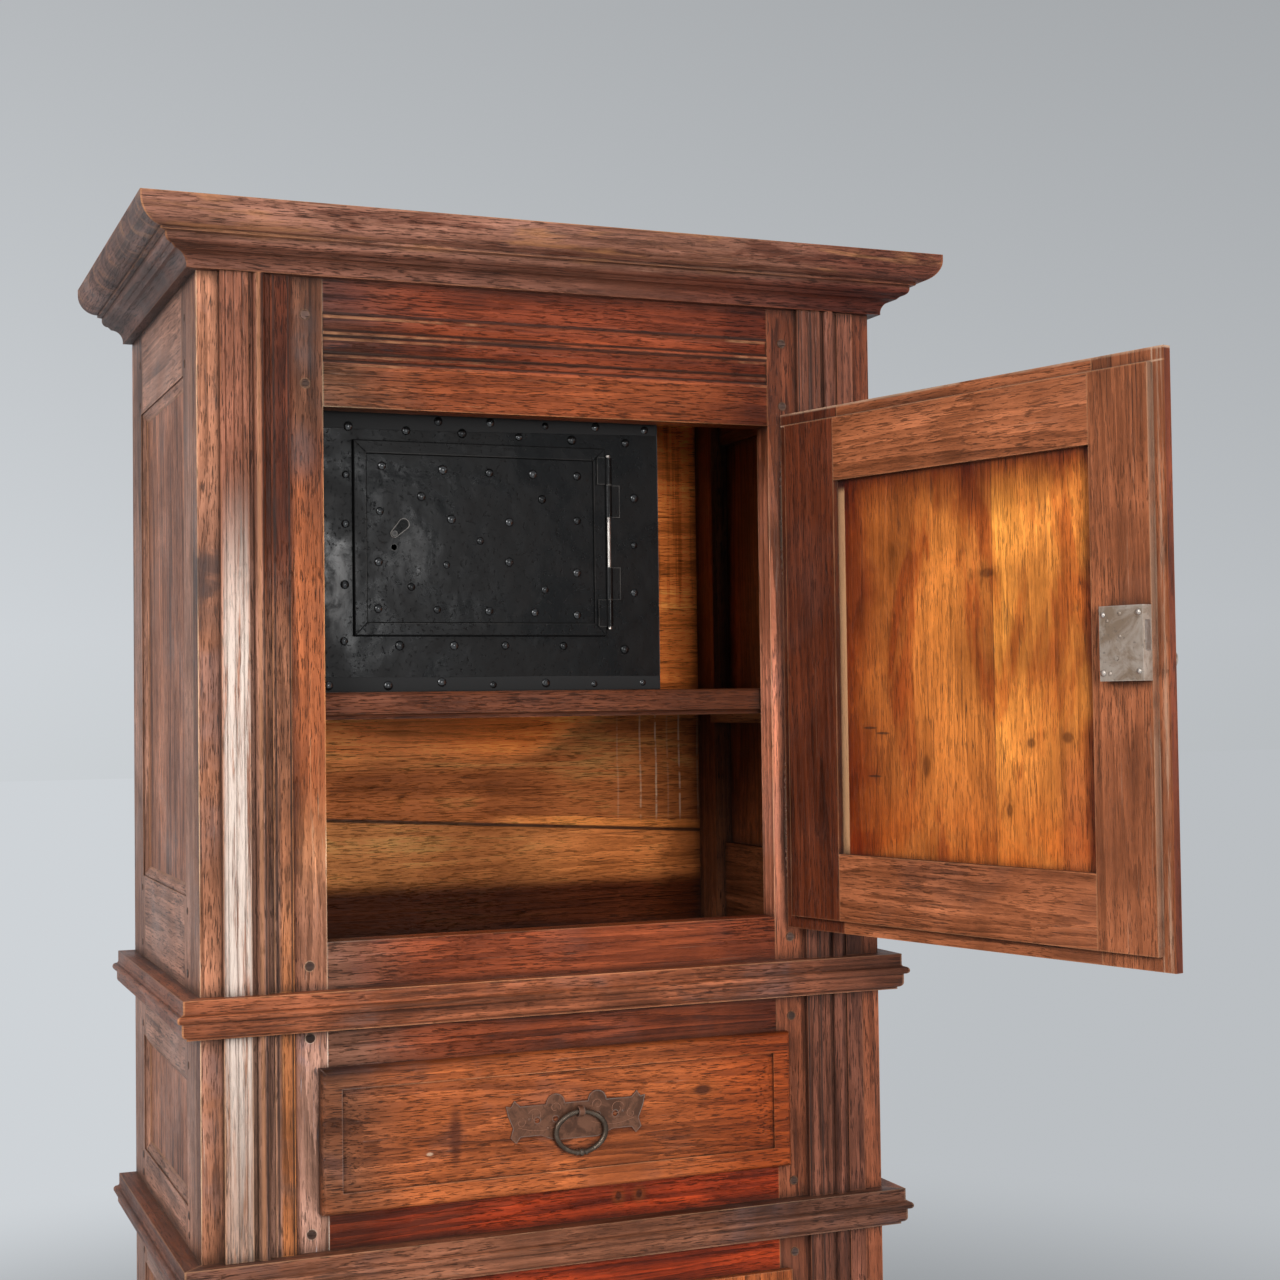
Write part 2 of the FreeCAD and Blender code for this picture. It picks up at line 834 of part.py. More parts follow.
def belt_profile():
    """Outward and upward steps of a belt: lip, ovolo, band, half-round nose, cove and crown."""
    foot = s.belt_foot
    ovolo_out = foot + s.belt_ovolo
    ovolo_up = s.belt_lip + s.belt_ovolo
    band = s.belt_band_top
    nose_out = ovolo_out + s.belt_step
    nose_up = band + s.belt_nose
    nose_top = nose_up + s.belt_nose
    crown = nose_out - s.belt_cove
    cove_up = nose_top + s.belt_cove
    return [
        (as_size(0), as_size(0)),
        (foot, as_size(0)),
        (foot, s.belt_lip),
        (ovolo_out, ovolo_up, foot, ovolo_up),
        (ovolo_out, band),
        (nose_out, band),
        (nose_out + s.belt_nose, nose_up, nose_out, nose_up),
        (nose_out, nose_top, nose_out, nose_up),
        (crown, cove_up, nose_out, cove_up),
        (crown, s.belt_height),
        (as_size(0), s.belt_height),
    ]


def profile_at(profile, u, sense, v):
    """A profile moved to a face at u, running outward by the sense, from the level v."""
    moved = []
    for point in profile:
        pairs = zip(point[0::2], point[1::2])
        moved.append(tuple(size for out, up in pairs for size in (u + out * sense, v + up)))
    return moved


def moulding_front(name, profile, level):
    """The front length of a moulding, mitred at both ends."""
    reach = widest(profile)
    length = (HALF + reach) * 2
    body = padded(name, "YZ_Plane", profile_at(profile, FRONT, -1, level), length, both_ways=True)
    for word, side in SIDES.items():
        corner = HALF * side
        tip = (HALF + reach) * side
        waste = [(corner, FRONT), (tip, FRONT - reach), (tip, FRONT)]
        pocket_through(body, "%s_mitre_%s" % (name, word), "XY_Plane", waste)
    return body


def moulding_return(name, profile, level, side):
    """A side length of a moulding, mitred at the front and flush with the back."""
    reach = widest(profile)
    length = s.carcass_depth + reach
    body = padded(name, "XZ_Plane", profile_at(profile, HALF * side, side, level), length)
    place(body, y=BACK)
    corner = HALF * side
    tip = (HALF + reach) * side
    lead = -s.carcass_depth
    waste = [(corner, lead), (tip, lead - reach), (corner, lead - reach)]
    pocket_through(body, name + "_mitre", "XY_Plane", waste)
    return body


def widest(profile):
    """The outward reach of a profile."""
    return max((point[0] for point in profile), key=lambda out: out.value)


def moulding(name, profile, level):
    """A moulding round the front and both sides: front, left and right lengths."""
    made = [moulding_front(name + "_front", profile, level)]
    for word, side in SIDES.items():
        made.append(moulding_return("%s_%s" % (name, word), profile, level, side))
    return made


def pilaster_points(edge):
    """Plan of a pilaster moulding: raised flat with grooves, groove, bead, gutter and flat."""
    def at(out):
        return FRONT - out

    flat_end = edge + s.pilaster_flat_width
    bead_start = flat_end + s.pilaster_gap
    bead_mid = bead_start + s.pilaster_bead
    bead_end = bead_mid + s.pilaster_bead
    gutter_end = bead_end + s.pilaster_gutter
    finish = gutter_end + s.pilaster_fillet_width
    face = at(s.pilaster_flat_proud)
    bead_foot = at(s.pilaster_bead_proud - s.pilaster_bead)
    points = [(edge, FRONT), (edge, face)]
    for share in PILASTER_GROOVE_SHARES:
        middle = edge + s.pilaster_flat_width * share
        half = s.pilaster_groove / 2
        points.append((middle - half, face))
        points.append((middle, face + s.pilaster_groove_depth))
        points.append((middle + half, face))
    points += [
        (flat_end, face),
        (flat_end, at(s.pilaster_channel)),
        (bead_start, at(s.pilaster_channel)),
        (bead_start, bead_foot),
        (bead_mid, at(s.pilaster_bead_proud), bead_mid, bead_foot),
        (bead_end, bead_foot, bead_mid, bead_foot),
        (bead_end, at(s.pilaster_gutter_proud)),
        (gutter_end, at(s.pilaster_gutter_proud)),
        (gutter_end, at(s.pilaster_channel)),
        (finish, at(s.pilaster_channel)),
        (finish, FRONT),
    ]
    return points


def pilaster_mouldings():
    """Three lengths on each stile, between base, belts and cornice."""
    wide = s.pilaster_flat_width + s.pilaster_gap + s.pilaster_bead * 2 + s.pilaster_gutter
    wide = wide + s.pilaster_fillet_width
    edges = (-HALF + s.pilaster_inset, HALF - s.pilaster_inset - wide)
    made = []
    for low, high in pilaster_levels():
        for edge in edges:
            body = padded("pilaster", "XY_Plane", pilaster_points(edge), high - low)
            made.append(place(body, z=low))
    return made


def pilaster_levels():
    waist = UPPER_SILL - s.belt_drop
    lower = DRAWER_SILL - s.belt_drop
    base = LOWER_SILL - s.belt_drop
    return ((base, lower - s.belt_height), (lower, waist - s.belt_height), (waist, SOFFIT))


# Pin hinges


def finial_points(start, sense):
    """A turned finial from the end of a barrel, up where sense is 1 and down where it is -1."""
    points = []
    for radius_share, height_share in FINIAL_SHARES:
        level = start + s.hinge_finial_length * (height_share * sense)
        points.append((s.hinge_barrel_radius * radius_share, level))
    return points


def hinge_levels(sill, head, low, drop):
    """Where the two barrels of each hinge meet: one hinge above the sill, one below the head."""
    rise = s.hinge_finial_length + s.hinge_barrel_length
    return (sill + low + rise, head - drop + rise)


def post_hinge(level):
    """The fixed half: finial, lower barrel, the pin that stands in it, and a blade into the stile."""
    low = level - s.hinge_barrel_length
    points = [(as_size(0), level)] + [(s.hinge_barrel_radius, level)] + finial_points(low, -1)
    points.append((as_size(0), low - s.hinge_finial_length))
    barrel = turned("post_barrel", points)
    pin = rod("post_pin", s.hinge_pin_radius, (0, 0, low), s.hinge_barrel_length * 2 - s.hinge_end_gap)
    half = s.hinge_blade_thickness / 2
    z = (low + s.overrun, level - s.overrun)
    blade = board("post_blade", (-half, half), (as_size(0), s.hinge_blade_depth), z)
    whole = fuse("post_hinge", [barrel, pin, blade])
    return place(whole, OPENING + s.hinge_offset, FRONT - s.hinge_proud, 0)


def door_hinge(level):
    """The moving half: finial and upper barrel, bored for the pin, with a blade into the door's edge."""
    low = level + s.hinge_end_gap
    high = level + s.hinge_barrel_length
    points = [(as_size(0), low), (s.hinge_barrel_radius, low)] + finial_points(high, 1)
    points.append((as_size(0), high + s.hinge_finial_length))
    barrel = turned("door_barrel", points)
    half = s.hinge_blade_thickness / 2
    z = (low + s.overrun, high - s.overrun)
    blade = board("door_blade", (-s.hinge_blade_depth, as_size(0)), (-half, half), z)
    radius = s.hinge_pin_radius + s.hinge_running_gap
    bore = rod("door_bore", radius, (0, 0, level), s.hinge_barrel_length)
    return cut("door_hinge", fuse("door_hinge_body", [barrel, blade]), [bore])


# Doors. Each is drawn closed, with its hinge axis at the origin and the door on the side of negative X.


class Door:
    """Sizes of one door, seen from its hinge axis."""

    def __init__(self, name, sill, head, turn):
        self.name = name
        self.turn = turn
        self.right = -(s.hinge_offset + s.door_gap)
        self.left = -(OPENING * 2 + s.hinge_offset - s.door_gap)
        self.bottom = sill + s.door_gap
        self.top = head - s.door_gap
        self.lip_left = self.left - s.door_lip
        self.lip_right = -(s.hinge_barrel_radius * FINIAL_WIDEST_SHARE + s.hinge_side_gap)
        self.lip_bottom = self.bottom - s.door_lip
        self.lip_top = self.top + s.door_lip
        self.hinge_stile_edge = self.right - s.hinge_stile_width
        self.lock_stile_edge = self.left + s.lock_stile_width
        self.bottom_rail_edge = self.bottom + s.door_bottom_rail_width
        self.top_rail_edge = self.top - s.door_top_rail_width
        self.lock_level = self.bottom + (self.top - self.bottom) / 2 + s.lock_rise

    def hang(self, piece):
        """Puts a piece on the hinge axis, turned as far as the door stands open."""
        return place(piece, OPENING + s.hinge_offset, FRONT - s.hinge_proud, 0, self.turn)

    def rebate(self):
        """What is taken off behind the lip, all round the body."""
        over = s.overrun
        x = (self.lip_left - over, self.lip_right + over)
        z = (self.lip_bottom - over, self.lip_top + over)
        ring = board(self.name + "_ring", x, (LIP_BACK, BODY_BACK + over), z)
        x = (self.left, self.right)
        y = (LIP_BACK - over, BODY_BACK + over * 2)
        keep = board(self.name + "_keep", x, y, (self.bottom, self.top))
        return cut(self.name + "_rebate", ring, [keep])

    def panel_places(self):
        x = (self.lock_stile_edge, self.hinge_stile_edge)
        return x, (self.bottom_rail_edge, self.top_rail_edge)

    def panel(self):
        """The panel: a flat back, and a raised field with bevelled edges on the face."""
        x, z = self.panel_places()
        tongue = s.door_panel_tongue
        back = BODY_BACK - s.door_panel_recess
        face = back - s.door_panel_thickness
        wide = (x[0] - tongue, x[1] + tongue)
        tall = (z[0] - tongue, z[1] + tongue)
        flat = board(self.name + "_panel_flat", wide, (face, back), tall)
        margin = s.door_field_margin + s.door_field_bevel
        field = frustum(
            self.name + "_field",
            face - s.door_field_rise,
            face,
            (x[0] + margin, x[1] - margin),
            (z[0] + margin, z[1] - margin),
            s.door_field_bevel,
        )
        return fuse(self.name + "_panel_shape", [flat, field])

    def panel_border(self):
        """The bevel round the panel, on the face of stiles and rails."""
        x, z = self.panel_places()
        face = BODY_BACK - s.door_panel_recess - s.door_panel_thickness
        spread = s.door_border_width
        x = (x[0] - spread, x[1] + spread)
        z = (z[0] - spread, z[1] + spread)
        return frustum(self.name + "_border", LIP_FRONT, face, x, z, -spread)

    def stile(self, word, x, tools):
        z = (self.lip_bottom, self.lip_top)
        body = board("%s_%s_board" % (self.name, word), x, (LIP_FRONT, BODY_BACK), z)
        return cut("%s_%s" % (self.name, word), body, tools)

    def rail(self, word, z, tenon_z, tools):
        x = (self.lock_stile_edge, self.hinge_stile_edge)
        name = "%s_%s" % (self.name, word)
        body = board(name + "_board", x, (LIP_FRONT, BODY_BACK), z)
        x = (x[0] - s.door_tenon_length, x[1] + s.door_tenon_length)
        cheek = LIP_FRONT + s.door_tenon_set
        tenons = board(name + "_tenons", x, (cheek, cheek + s.door_tenon_thickness), tenon_z)
        return cut(name, fuse(name + "_tenoned", [body, tenons]), tools)

    def lock_case(self):
        """A shallow iron box on the door's inner face, with the bolt's slot and the drill pin."""
        plate = s.lock_plate
        x = (self.left, self.left + s.lock_width)
        low = self.lock_level - s.lock_height / 2
        z = (low, low + s.lock_height)
        y = (BODY_BACK, BODY_BACK + s.lock_depth)
        outer = board(self.name + "_case_outer", x, y, z)
        x = (x[0] + plate, x[1] - plate)
        z = (z[0] + plate, z[1] - plate)
        inner = board(self.name + "_case_inner", x, (y[0] - plate, y[1] - plate), z)
        key_x, key_z = self.key_place()
        slot = self.bolt_slot()
        start = y[1] + s.drill_pin_proud
        length = s.lock_depth + s.drill_pin_proud + s.drill_pin_proud
        pin = rod(self.name + "_drill_pin", s.drill_pin_radius, (key_x, start, key_z), length, V(0, -1, 0))
        return fuse(self.name + "_case", [cut(self.name + "_case_shell", outer, [inner, slot]), pin])

    def key_place(self):
        return self.left + s.key_inset, self.lock_level - s.key_drop

    def bolt_y(self):
        start = BODY_BACK + s.bolt_set
        return start, start + s.bolt_thickness

    def bolt_z(self):
        middle = self.lock_level + s.bolt_rise
        return middle - s.bolt_height / 2, middle + s.bolt_height / 2

    def bolt_slot(self):
        """The slot in the end of the lock case, with the bolt's play all round."""
        play = s.bolt_play
        y, z = self.bolt_y(), self.bolt_z()
        x = (self.left - s.overrun, self.left + s.lock_plate + s.overrun)
        return board(self.name + "_slot", x, (y[0] - play, y[1] + play), (z[0] - play, z[1] + play))

    def bolt(self):
        """The sliding bolt, flush with the case's end when drawn, notched below for the key's bit."""
        y, z = self.bolt_y(), self.bolt_z()
        body = board(self.name + "_bolt_bar", (self.left, self.left + s.bolt_length), y, z)
        start = self.left + s.bolt_notch_start
        x = (start, start + s.bolt_notch_width)
        notch_z = (z[0] - s.overrun, z[0] + s.bolt_notch_depth)
        notch = board(self.name + "_bolt_notch", x, (y[0] - s.overrun, y[1] + s.overrun), notch_z)
        return cut(self.name + "_bolt", body, [notch])

    def keyhole(self):
        """The round hole for the key's shank, with a slot below it for the bit."""
        x, z = self.key_place()
        over = s.overrun
        start = LIP_FRONT - over
        length = BODY_BACK - LIP_FRONT + over * 2
        radius = s.key_shank_radius + s.keyhole_gap
        round_hole = rod(self.name + "_hole", radius, (x, start, z), length, V(0, 1, 0))
        half = s.keyhole_slot_width / 2
        slot_z = (z - s.keyhole_slot_drop, z)
        slot = board(self.name + "_hole_slot", (x - half, x + half), (start, start + length), slot_z)
        return [round_hole, slot]

    def keeper(self):
        """The mortise for the thrown bolt, in the left front stile."""
        gap = s.keeper_gap
        y, z = self.bolt_y(), self.bolt_z()
        shift = FRONT - s.hinge_proud
        x = (-OPENING - s.bolt_throw - gap, -OPENING + s.overrun)
        return board(
            self.name + "_keeper",
            x,
            (shift + y[0] - gap, shift + y[1] + gap),
            (z[0] - gap, z[1] + gap),
        )


def door_pieces(name, sill, head, turn, low, drop):
    """Stiles, rails, panel, hinges, lock case and bolt of one door."""
    door = Door(name, sill, head, turn)
    levels = hinge_levels(sill, head, low, drop)
    hinges = [door_hinge(level) for level in levels]
    panel = door.panel()
    rebate = door.rebate()
    border = door.panel_border()
    shoulder = s.door_tenon_shoulder
    top_z = (door.top_rail_edge, door.lip_top)
    top_tenon = (door.top_rail_edge + shoulder, door.top - shoulder)
    bottom_z = (door.lip_bottom, door.bottom_rail_edge)
    bottom_tenon = (door.bottom + shoulder, door.bottom_rail_edge - shoulder)
    rail_tools = [panel, rebate, border]
    top = door.rail("top_rail", top_z, top_tenon, rail_tools)
    bottom = door.rail("bottom_rail", bottom_z, bottom_tenon, rail_tools)
    stile_tools = [panel, rebate, border, group(name + "_rail_pair", [top, bottom])]
    hinge_x = (door.hinge_stile_edge, door.lip_right)
    lock_x = (door.lip_left, door.lock_stile_edge)
    pieces = {
        "hinge_stile": door.stile("hinge_stile", hinge_x, stile_tools + hinges),
        "lock_stile": door.stile("lock_stile", lock_x, stile_tools + door.keyhole()),
        "top_rail": top,
        "bottom_rail": bottom,
        "panel": panel,
        "hinges": group(name + "_hinge_pair", hinges),
        "lock_case": door.lock_case(),
        "lock_bolt": door.bolt(),
    }
    return door, pieces


def key(door):
    """A pipe key in the lock: hollow shank over the drill pin, bit, collar and oval bow."""
    x, z = door.key_place()
    back = BODY_BACK + s.lock_depth - s.lock_plate - s.key_end_gap
    reach = s.key_bow_radius + s.key_bow_wire
    bow_y = LIP_FRONT - s.key_length + reach
    shank_end = bow_y + s.key_bow_radius
    shank = rod("key_shank", s.key_shank_radius, (x, back, z), back - shank_end, V(0, -1, 0))
    half = s.key_bit_thickness / 2
    y = (back - s.key_bit_length, back)
    bit = board("key_bit", (x - half, x + half), y, (z - s.key_bit_reach, z))
    collar_y = shank_end + s.key_collar_length
    collar = rod("key_collar", s.key_collar_radius, (x, collar_y, z), s.key_collar_length, V(0, -1, 0))
    bow = turned("key_bow", forged_section(s.key_bow_radius, s.key_bow_wire))
    place(bow, x, bow_y, z)
    bow.Placement = FreeCAD.Placement(V(0, 0, 0), FreeCAD.Rotation(UP, V(1, 0, 0)))
    radius = s.drill_pin_radius + s.key_running_gap
    depth = s.lock_depth + s.drill_pin_proud * 2
    bore = rod("key_bore", radius, (x, back + s.overrun, z), depth, V(0, -1, 0))
    return cut("key_shape", fuse("key_body", [shank, bit, collar, bow]), [bore])


# Drawer


def drawer_side_points():
    """Side view of a drawer side: dovetails at the front, straight behind."""
    low = DRAWER_SILL + s.drawer_play
    high = low + s.drawer_side_height
    root = FRONT - s.drawer_lip_gap + s.drawer_body_depth
    tip = FRONT - s.drawer_lip_gap + s.dovetail_lap
    points = [(DRAWER_REAR, high), (DRAWER_REAR, low), (root, low)]
    for start, finish in DOVETAIL_SHARES:
        neck_low = low + s.drawer_side_height * start
        neck_high = low + s.drawer_side_height * finish
        points.append((root, neck_low + s.dovetail_flare))
        points.append((tip, neck_low))
        points.append((tip, neck_high))
        points.append((root, neck_high - s.dovetail_flare))
    points.append((root, high))
    return points


def drawer_base():
    """The bottom board, grooved into front and sides."""
    reach = OPENING - s.drawer_gap - s.drawer_side_thickness + s.drawer_base_tongue
    root = FRONT - s.drawer_lip_gap + s.drawer_body_depth
    low = DRAWER_SILL + s.drawer_play + s.drawer_base_rise
    y = (root - s.drawer_base_tongue, DRAWER_REAR)
    return board("drawer_bottom", (-reach, reach), y, (low, low + s.drawer_base_thickness))


def drawer_sides(base):
    outer = OPENING - s.drawer_gap
    inner = outer - s.drawer_side_thickness
    made = []
    for start in (-outer, inner):
        body = padded("drawer_side", "YZ_Plane", drawer_side_points(), s.drawer_side_thickness)
        made.append(cut("drawer_side_grooved", place(body, x=start), [base]))
    return made


def drawer_back():
    inner = OPENING - s.drawer_gap - s.drawer_side_thickness
    low = DRAWER_SILL + s.drawer_play + s.drawer_base_rise + s.drawer_base_thickness
    high = DRAWER_SILL + s.drawer_play + s.drawer_side_height - s.drawer_back_drop
    y = (DRAWER_REAR - s.drawer_back_thickness, DRAWER_REAR)
    return board("drawer_back", (-inner, inner), y, (low, high))


def drawer_front(tools):
    """The lipped front: rounded edge, flat border, groove and raised field, with sockets for the tails."""
    face = drawer_face()
    back = FRONT - s.drawer_lip_gap
    wide = OPENING + s.drawer_lip
    low = DRAWER_SILL - s.drawer_lip
    high = DRAWER_HEAD + s.drawer_lip
    corners = [(-wide, low), (wide, low), (wide, high), (-wide, high)]
    body = padded("drawer_lip", "XZ_Plane", corners, s.drawer_lip_thickness)
    pad = body.Tip
    edge = body.newObject("PartDesign::Fillet", "drawer_lip_round")
    edge.Base = (pad, ["Face6"])
    bind(edge, "Radius", s.drawer_lip_round)
    place(body, y=back)
    gap = s.drawer_gap
    x = (-OPENING + gap, OPENING - gap)
    z = (DRAWER_SILL + gap, DRAWER_HEAD - gap)
    inner = board("drawer_front_body", x, (back, back + s.drawer_body_depth), z)
    border = s.drawer_lip_round + s.drawer_border_width
    x = (-wide + border, wide - border)
    z = (low + border, high - border)
    sink = board("drawer_sink", x, (face - s.overrun, face + s.drawer_field_depth), z)
    groove = s.drawer_field_groove
    bevel = s.drawer_field_bevel
    field = frustum(
        "drawer_field",
        face,
        face + s.drawer_field_depth,
        (x[0] + groove + bevel, x[1] - groove - bevel),
        (z[0] + groove + bevel, z[1] - groove - bevel),
        bevel,
    )
    waste = cut("drawer_field_waste", sink, [field])
    return cut("drawer_front", fuse("drawer_front_blank", [body, inner]), [waste] + tools)


def drawer_runners():
    """Two runner boards below the drawer, each with a guide beside the drawer's side."""
    made = []
    for side in SIDES.values():
        edge = OPENING - s.runner_inner_edge
        x = span(side, edge, SIDE_INNER)
        z = (DRAWER_SILL - s.runner_thickness, DRAWER_SILL)
        plate = board("runner_plate", x, (STILE_BACK, POST_FRONT), z)
        start = OPENING - s.drawer_gap + s.guide_play
        x = span(side, start, start + s.guide_width)
        z = (DRAWER_SILL, DRAWER_SILL + s.guide_height)
        guide = board("runner_guide", x, (STILE_BACK, POST_FRONT), z)
        made.append(fuse("runner", [plate, guide]))
    return made


def drawer_face():
    return FRONT - s.drawer_lip_gap - s.drawer_lip_thickness


def eye_radii():
    """Bore and outside of the eye; its outside rests on the drawer's face."""
    bore = s.ring_wire + s.eye_play
    return bore, bore + s.eye_wall


def ring_place():
    """The ring's pivot: its middle along X, and the axis in Y and Z."""
    bore, outer = eye_radii()
    middle = DRAWER_SILL + s.drawer_opening_height / 2
    return s.plate_shift + s.ring_shift, drawer_face() - outer, middle + s.plate_rise + s.ring_rise


def plate_outline():
    """The handle plate about its middle: foot, spiked corners, waisted ends and two round lobes."""
    half = s.plate_width / 2
    up = s.plate_height / 2
    right = [(half * wide, up * high + s.plate_spike * spike) for wide, high, spike in PLATE_SHARES]
    centre = half * PLATE_LOBE_SHARE
    shoulder = up - s.plate_spike
    lobe = s.plate_lobe
    points = list(right)
    for middle in (centre, -centre):
        points.append((middle + lobe, shoulder))
        points.append((middle, shoulder + lobe, middle, shoulder))
        points.append((middle - lobe, shoulder, middle, shoulder))
    return points + [(-x, z) for x, z in reversed(right)]


def drawer_plate():
    """The pierced iron plate, with the eye that carries the ring."""
    ring_x, ring_y, ring_z = ring_place()
    face = drawer_face()
    level = DRAWER_SILL + s.drawer_opening_height / 2 + s.plate_rise
    body = padded("plate_blank", "XZ_Plane", plate_outline(), s.plate_thickness)
    place(body, s.plate_shift, face, level)
    holes = []
    for share in PLATE_HOLE_SHARES:
        start = (s.plate_shift + s.plate_width / 2 * share, face + s.overrun, level)
        holes.append(rod("plate_hole", s.plate_hole, start, s.plate_thickness + s.overrun * 2, V(0, -1, 0)))
    wide = s.eye_width / 2
    radius = s.ring_wire + s.eye_play
    outer = radius + s.eye_wall
    x = (ring_x - wide, ring_x + wide)
    foot = board("eye_foot", x, (ring_y, face), (ring_z - outer, ring_z + outer))
    start = (ring_x - wide, ring_y, ring_z)
    barrel = rod("eye_barrel", outer, start, s.eye_width, V(1, 0, 0))
    start = (ring_x - wide - s.overrun, ring_y, ring_z)
    bore = rod("eye_bore", radius, start, s.eye_width + s.overrun * 2, V(1, 0, 0))
    blank = cut("plate_pierced", body, holes)
    return cut("drawer_plate", fuse("plate_with_eye", [blank, foot, barrel]), [bore])


def forged_section(middle, radius):
    """The corners of a hammered bar whose middle is at a distance along the outline's first axis."""
    return [(middle + radius * across, radius * up) for across, up in FORGED_SHARES]


def ring_quarter(name, radius, x, y, start):
    """A quarter turn of the ring's round bar, about its own centre, from a start angle."""
    bar = doc.addObject("Part::Torus", name)
    bind(bar, "Radius1", radius)
    bind(bar, "Radius2", s.ring_wire)
    bar.Angle3 = 90
    return place(bar, x, y, 0, start)


def ring_oval(half, drop):
    """Four quarter turns that meet smoothly in an oval, flat on X and Y."""
    centre = (half - drop) * QUARTER_OVAL_SHARE
    end = half - centre
    side = end + centre * 2 ** 0.5
    nought = as_size(0)
    return [
        ring_quarter("ring_right", end, centre, nought, -45),
        ring_quarter("ring_top", side, nought, -centre, 45),
        ring_quarter("ring_left", end, -centre, nought, 135),
        ring_quarter("ring_bottom", side, nought, centre, 225),
    ]


def drawer_ring():
    """The oval ring, with a turned knop at the bottom."""
    x, y, z = ring_place()
    wire = s.ring_wire
    drop = s.ring_height / 2 - wire
    bars = ring_oval(s.ring_width / 2 - wire, drop)
    length = s.ring_knop_length / 2
    core = wire * KNOP_CORE_SHARE
    swell = s.ring_knop_radius - core
    points = [(as_size(0), -length)]
    for along, share in KNOP_SHARES:
        points.append((core + swell * share, length * along))
    points.append((as_size(0), length))
    knop = turned("ring_knop", points)
    knop.Placement = FreeCAD.Placement(V(0, 0, 0), FreeCAD.Rotation(V(0, 1, 0), 90))
    bind(knop, "Placement.Base.y", -drop)
    return place(fuse("drawer_ring", bars + [knop]), x, y, z - drop, 90, V(1, 0, 0))


# Strong box


def box_places():
    """Outer faces of the strong box: x, y and z."""
    left = -s.box_left
    lead = FRONT + s.box_set
    return (left, left + s.box_width), (lead, lead + s.box_depth), (SHELF_TOP, SHELF_TOP + s.box_height)


def box_door_places():
    """The door leaf's x and z, and its hinge axis in x and y."""
    x, y, z = box_places()
    axis = (x[1] - s.box_hinge_side, y[0] - s.box_knuckle_radius - s.box_hinge_stand_off)
    leaf_x = (x[0] + s.box_door_start, axis[0] - s.box_hinge_gap)
    return leaf_x, (z[0] + s.box_door_rise, z[1] - s.box_door_drop), axis


def box_knuckle(level, height, radius, axis):
    """One knuckle of the strong box's hinge."""
    return rod("box_knuckle", radius, (axis[0], axis[1], level), height)


def strongbox_case():
    """The box: five walls, a front with its door opening, and the fixed knuckles of the hinge."""
    x, y, z = box_places()
    leaf_x, leaf_z, axis = box_door_places()
    wall = s.box_wall
    outer = board("box_outer", x, y, z)
    inner = board(
        "box_inner", (x[0] + wall, x[1] - wall), (y[0] + wall, y[1] - wall), (z[0] + wall, z[1] - wall)
    )
    rebate = s.box_rebate
    mouth_x = (leaf_x[0] + rebate, leaf_x[1] - rebate)
    mouth_z = (leaf_z[0] + rebate, leaf_z[1] - rebate)
    mouth = board("box_mouth", mouth_x, (y[0] - s.overrun, y[0] + wall + s.overrun), mouth_z)
    shell = cut("box_shell", outer, [inner, mouth])
    fixed = []
    bores = []
    for level, height in box_fixed_levels():
        fixed.append(box_knuckle(level, height, s.box_knuckle_radius, axis))
        strap = (axis[0], axis[0] + s.box_leaf_width)
        depth = (y[0] - s.box_leaf_thickness, y[0])
        fixed.append(board("box_strap", strap, depth, (level, level + height)))
        web = (axis[0], axis[0] + s.box_knuckle_radius)
        fixed.append(board("box_web", web, (axis[1], y[0]), (level, level + height)))
        bores.append(box_knuckle(level - s.overrun, height + s.overrun * 2, s.box_pin_radius, axis))
    return cut("strongbox_case", fuse("box_with_knuckles", [shell] + fixed), bores)


def box_hinge_ends():
    leaf_x, leaf_z, axis = box_door_places()
    return leaf_z[0] + s.box_hinge_inset, leaf_z[1] - s.box_hinge_inset


def box_door_levels():
    """Bottom and height of the door's two knuckles."""
    low, high = box_hinge_ends()
    return (low, s.box_knuckle_end), (high - s.box_knuckle_end, s.box_knuckle_end)


def box_fixed_levels():
    """Bottom and height of the case's two knuckles, inside the door's."""
    low, high = box_hinge_ends()
    gap = s.box_knuckle_gap
    first = low + s.box_knuckle_end + gap
    second = high - s.box_knuckle_end - gap - s.box_knuckle_fixed
    return (first, s.box_knuckle_fixed), (second, s.box_knuckle_fixed)


def cover_place():
    x, y, z = box_places()
    return x[0] + s.cover_across, z[0] + s.cover_up


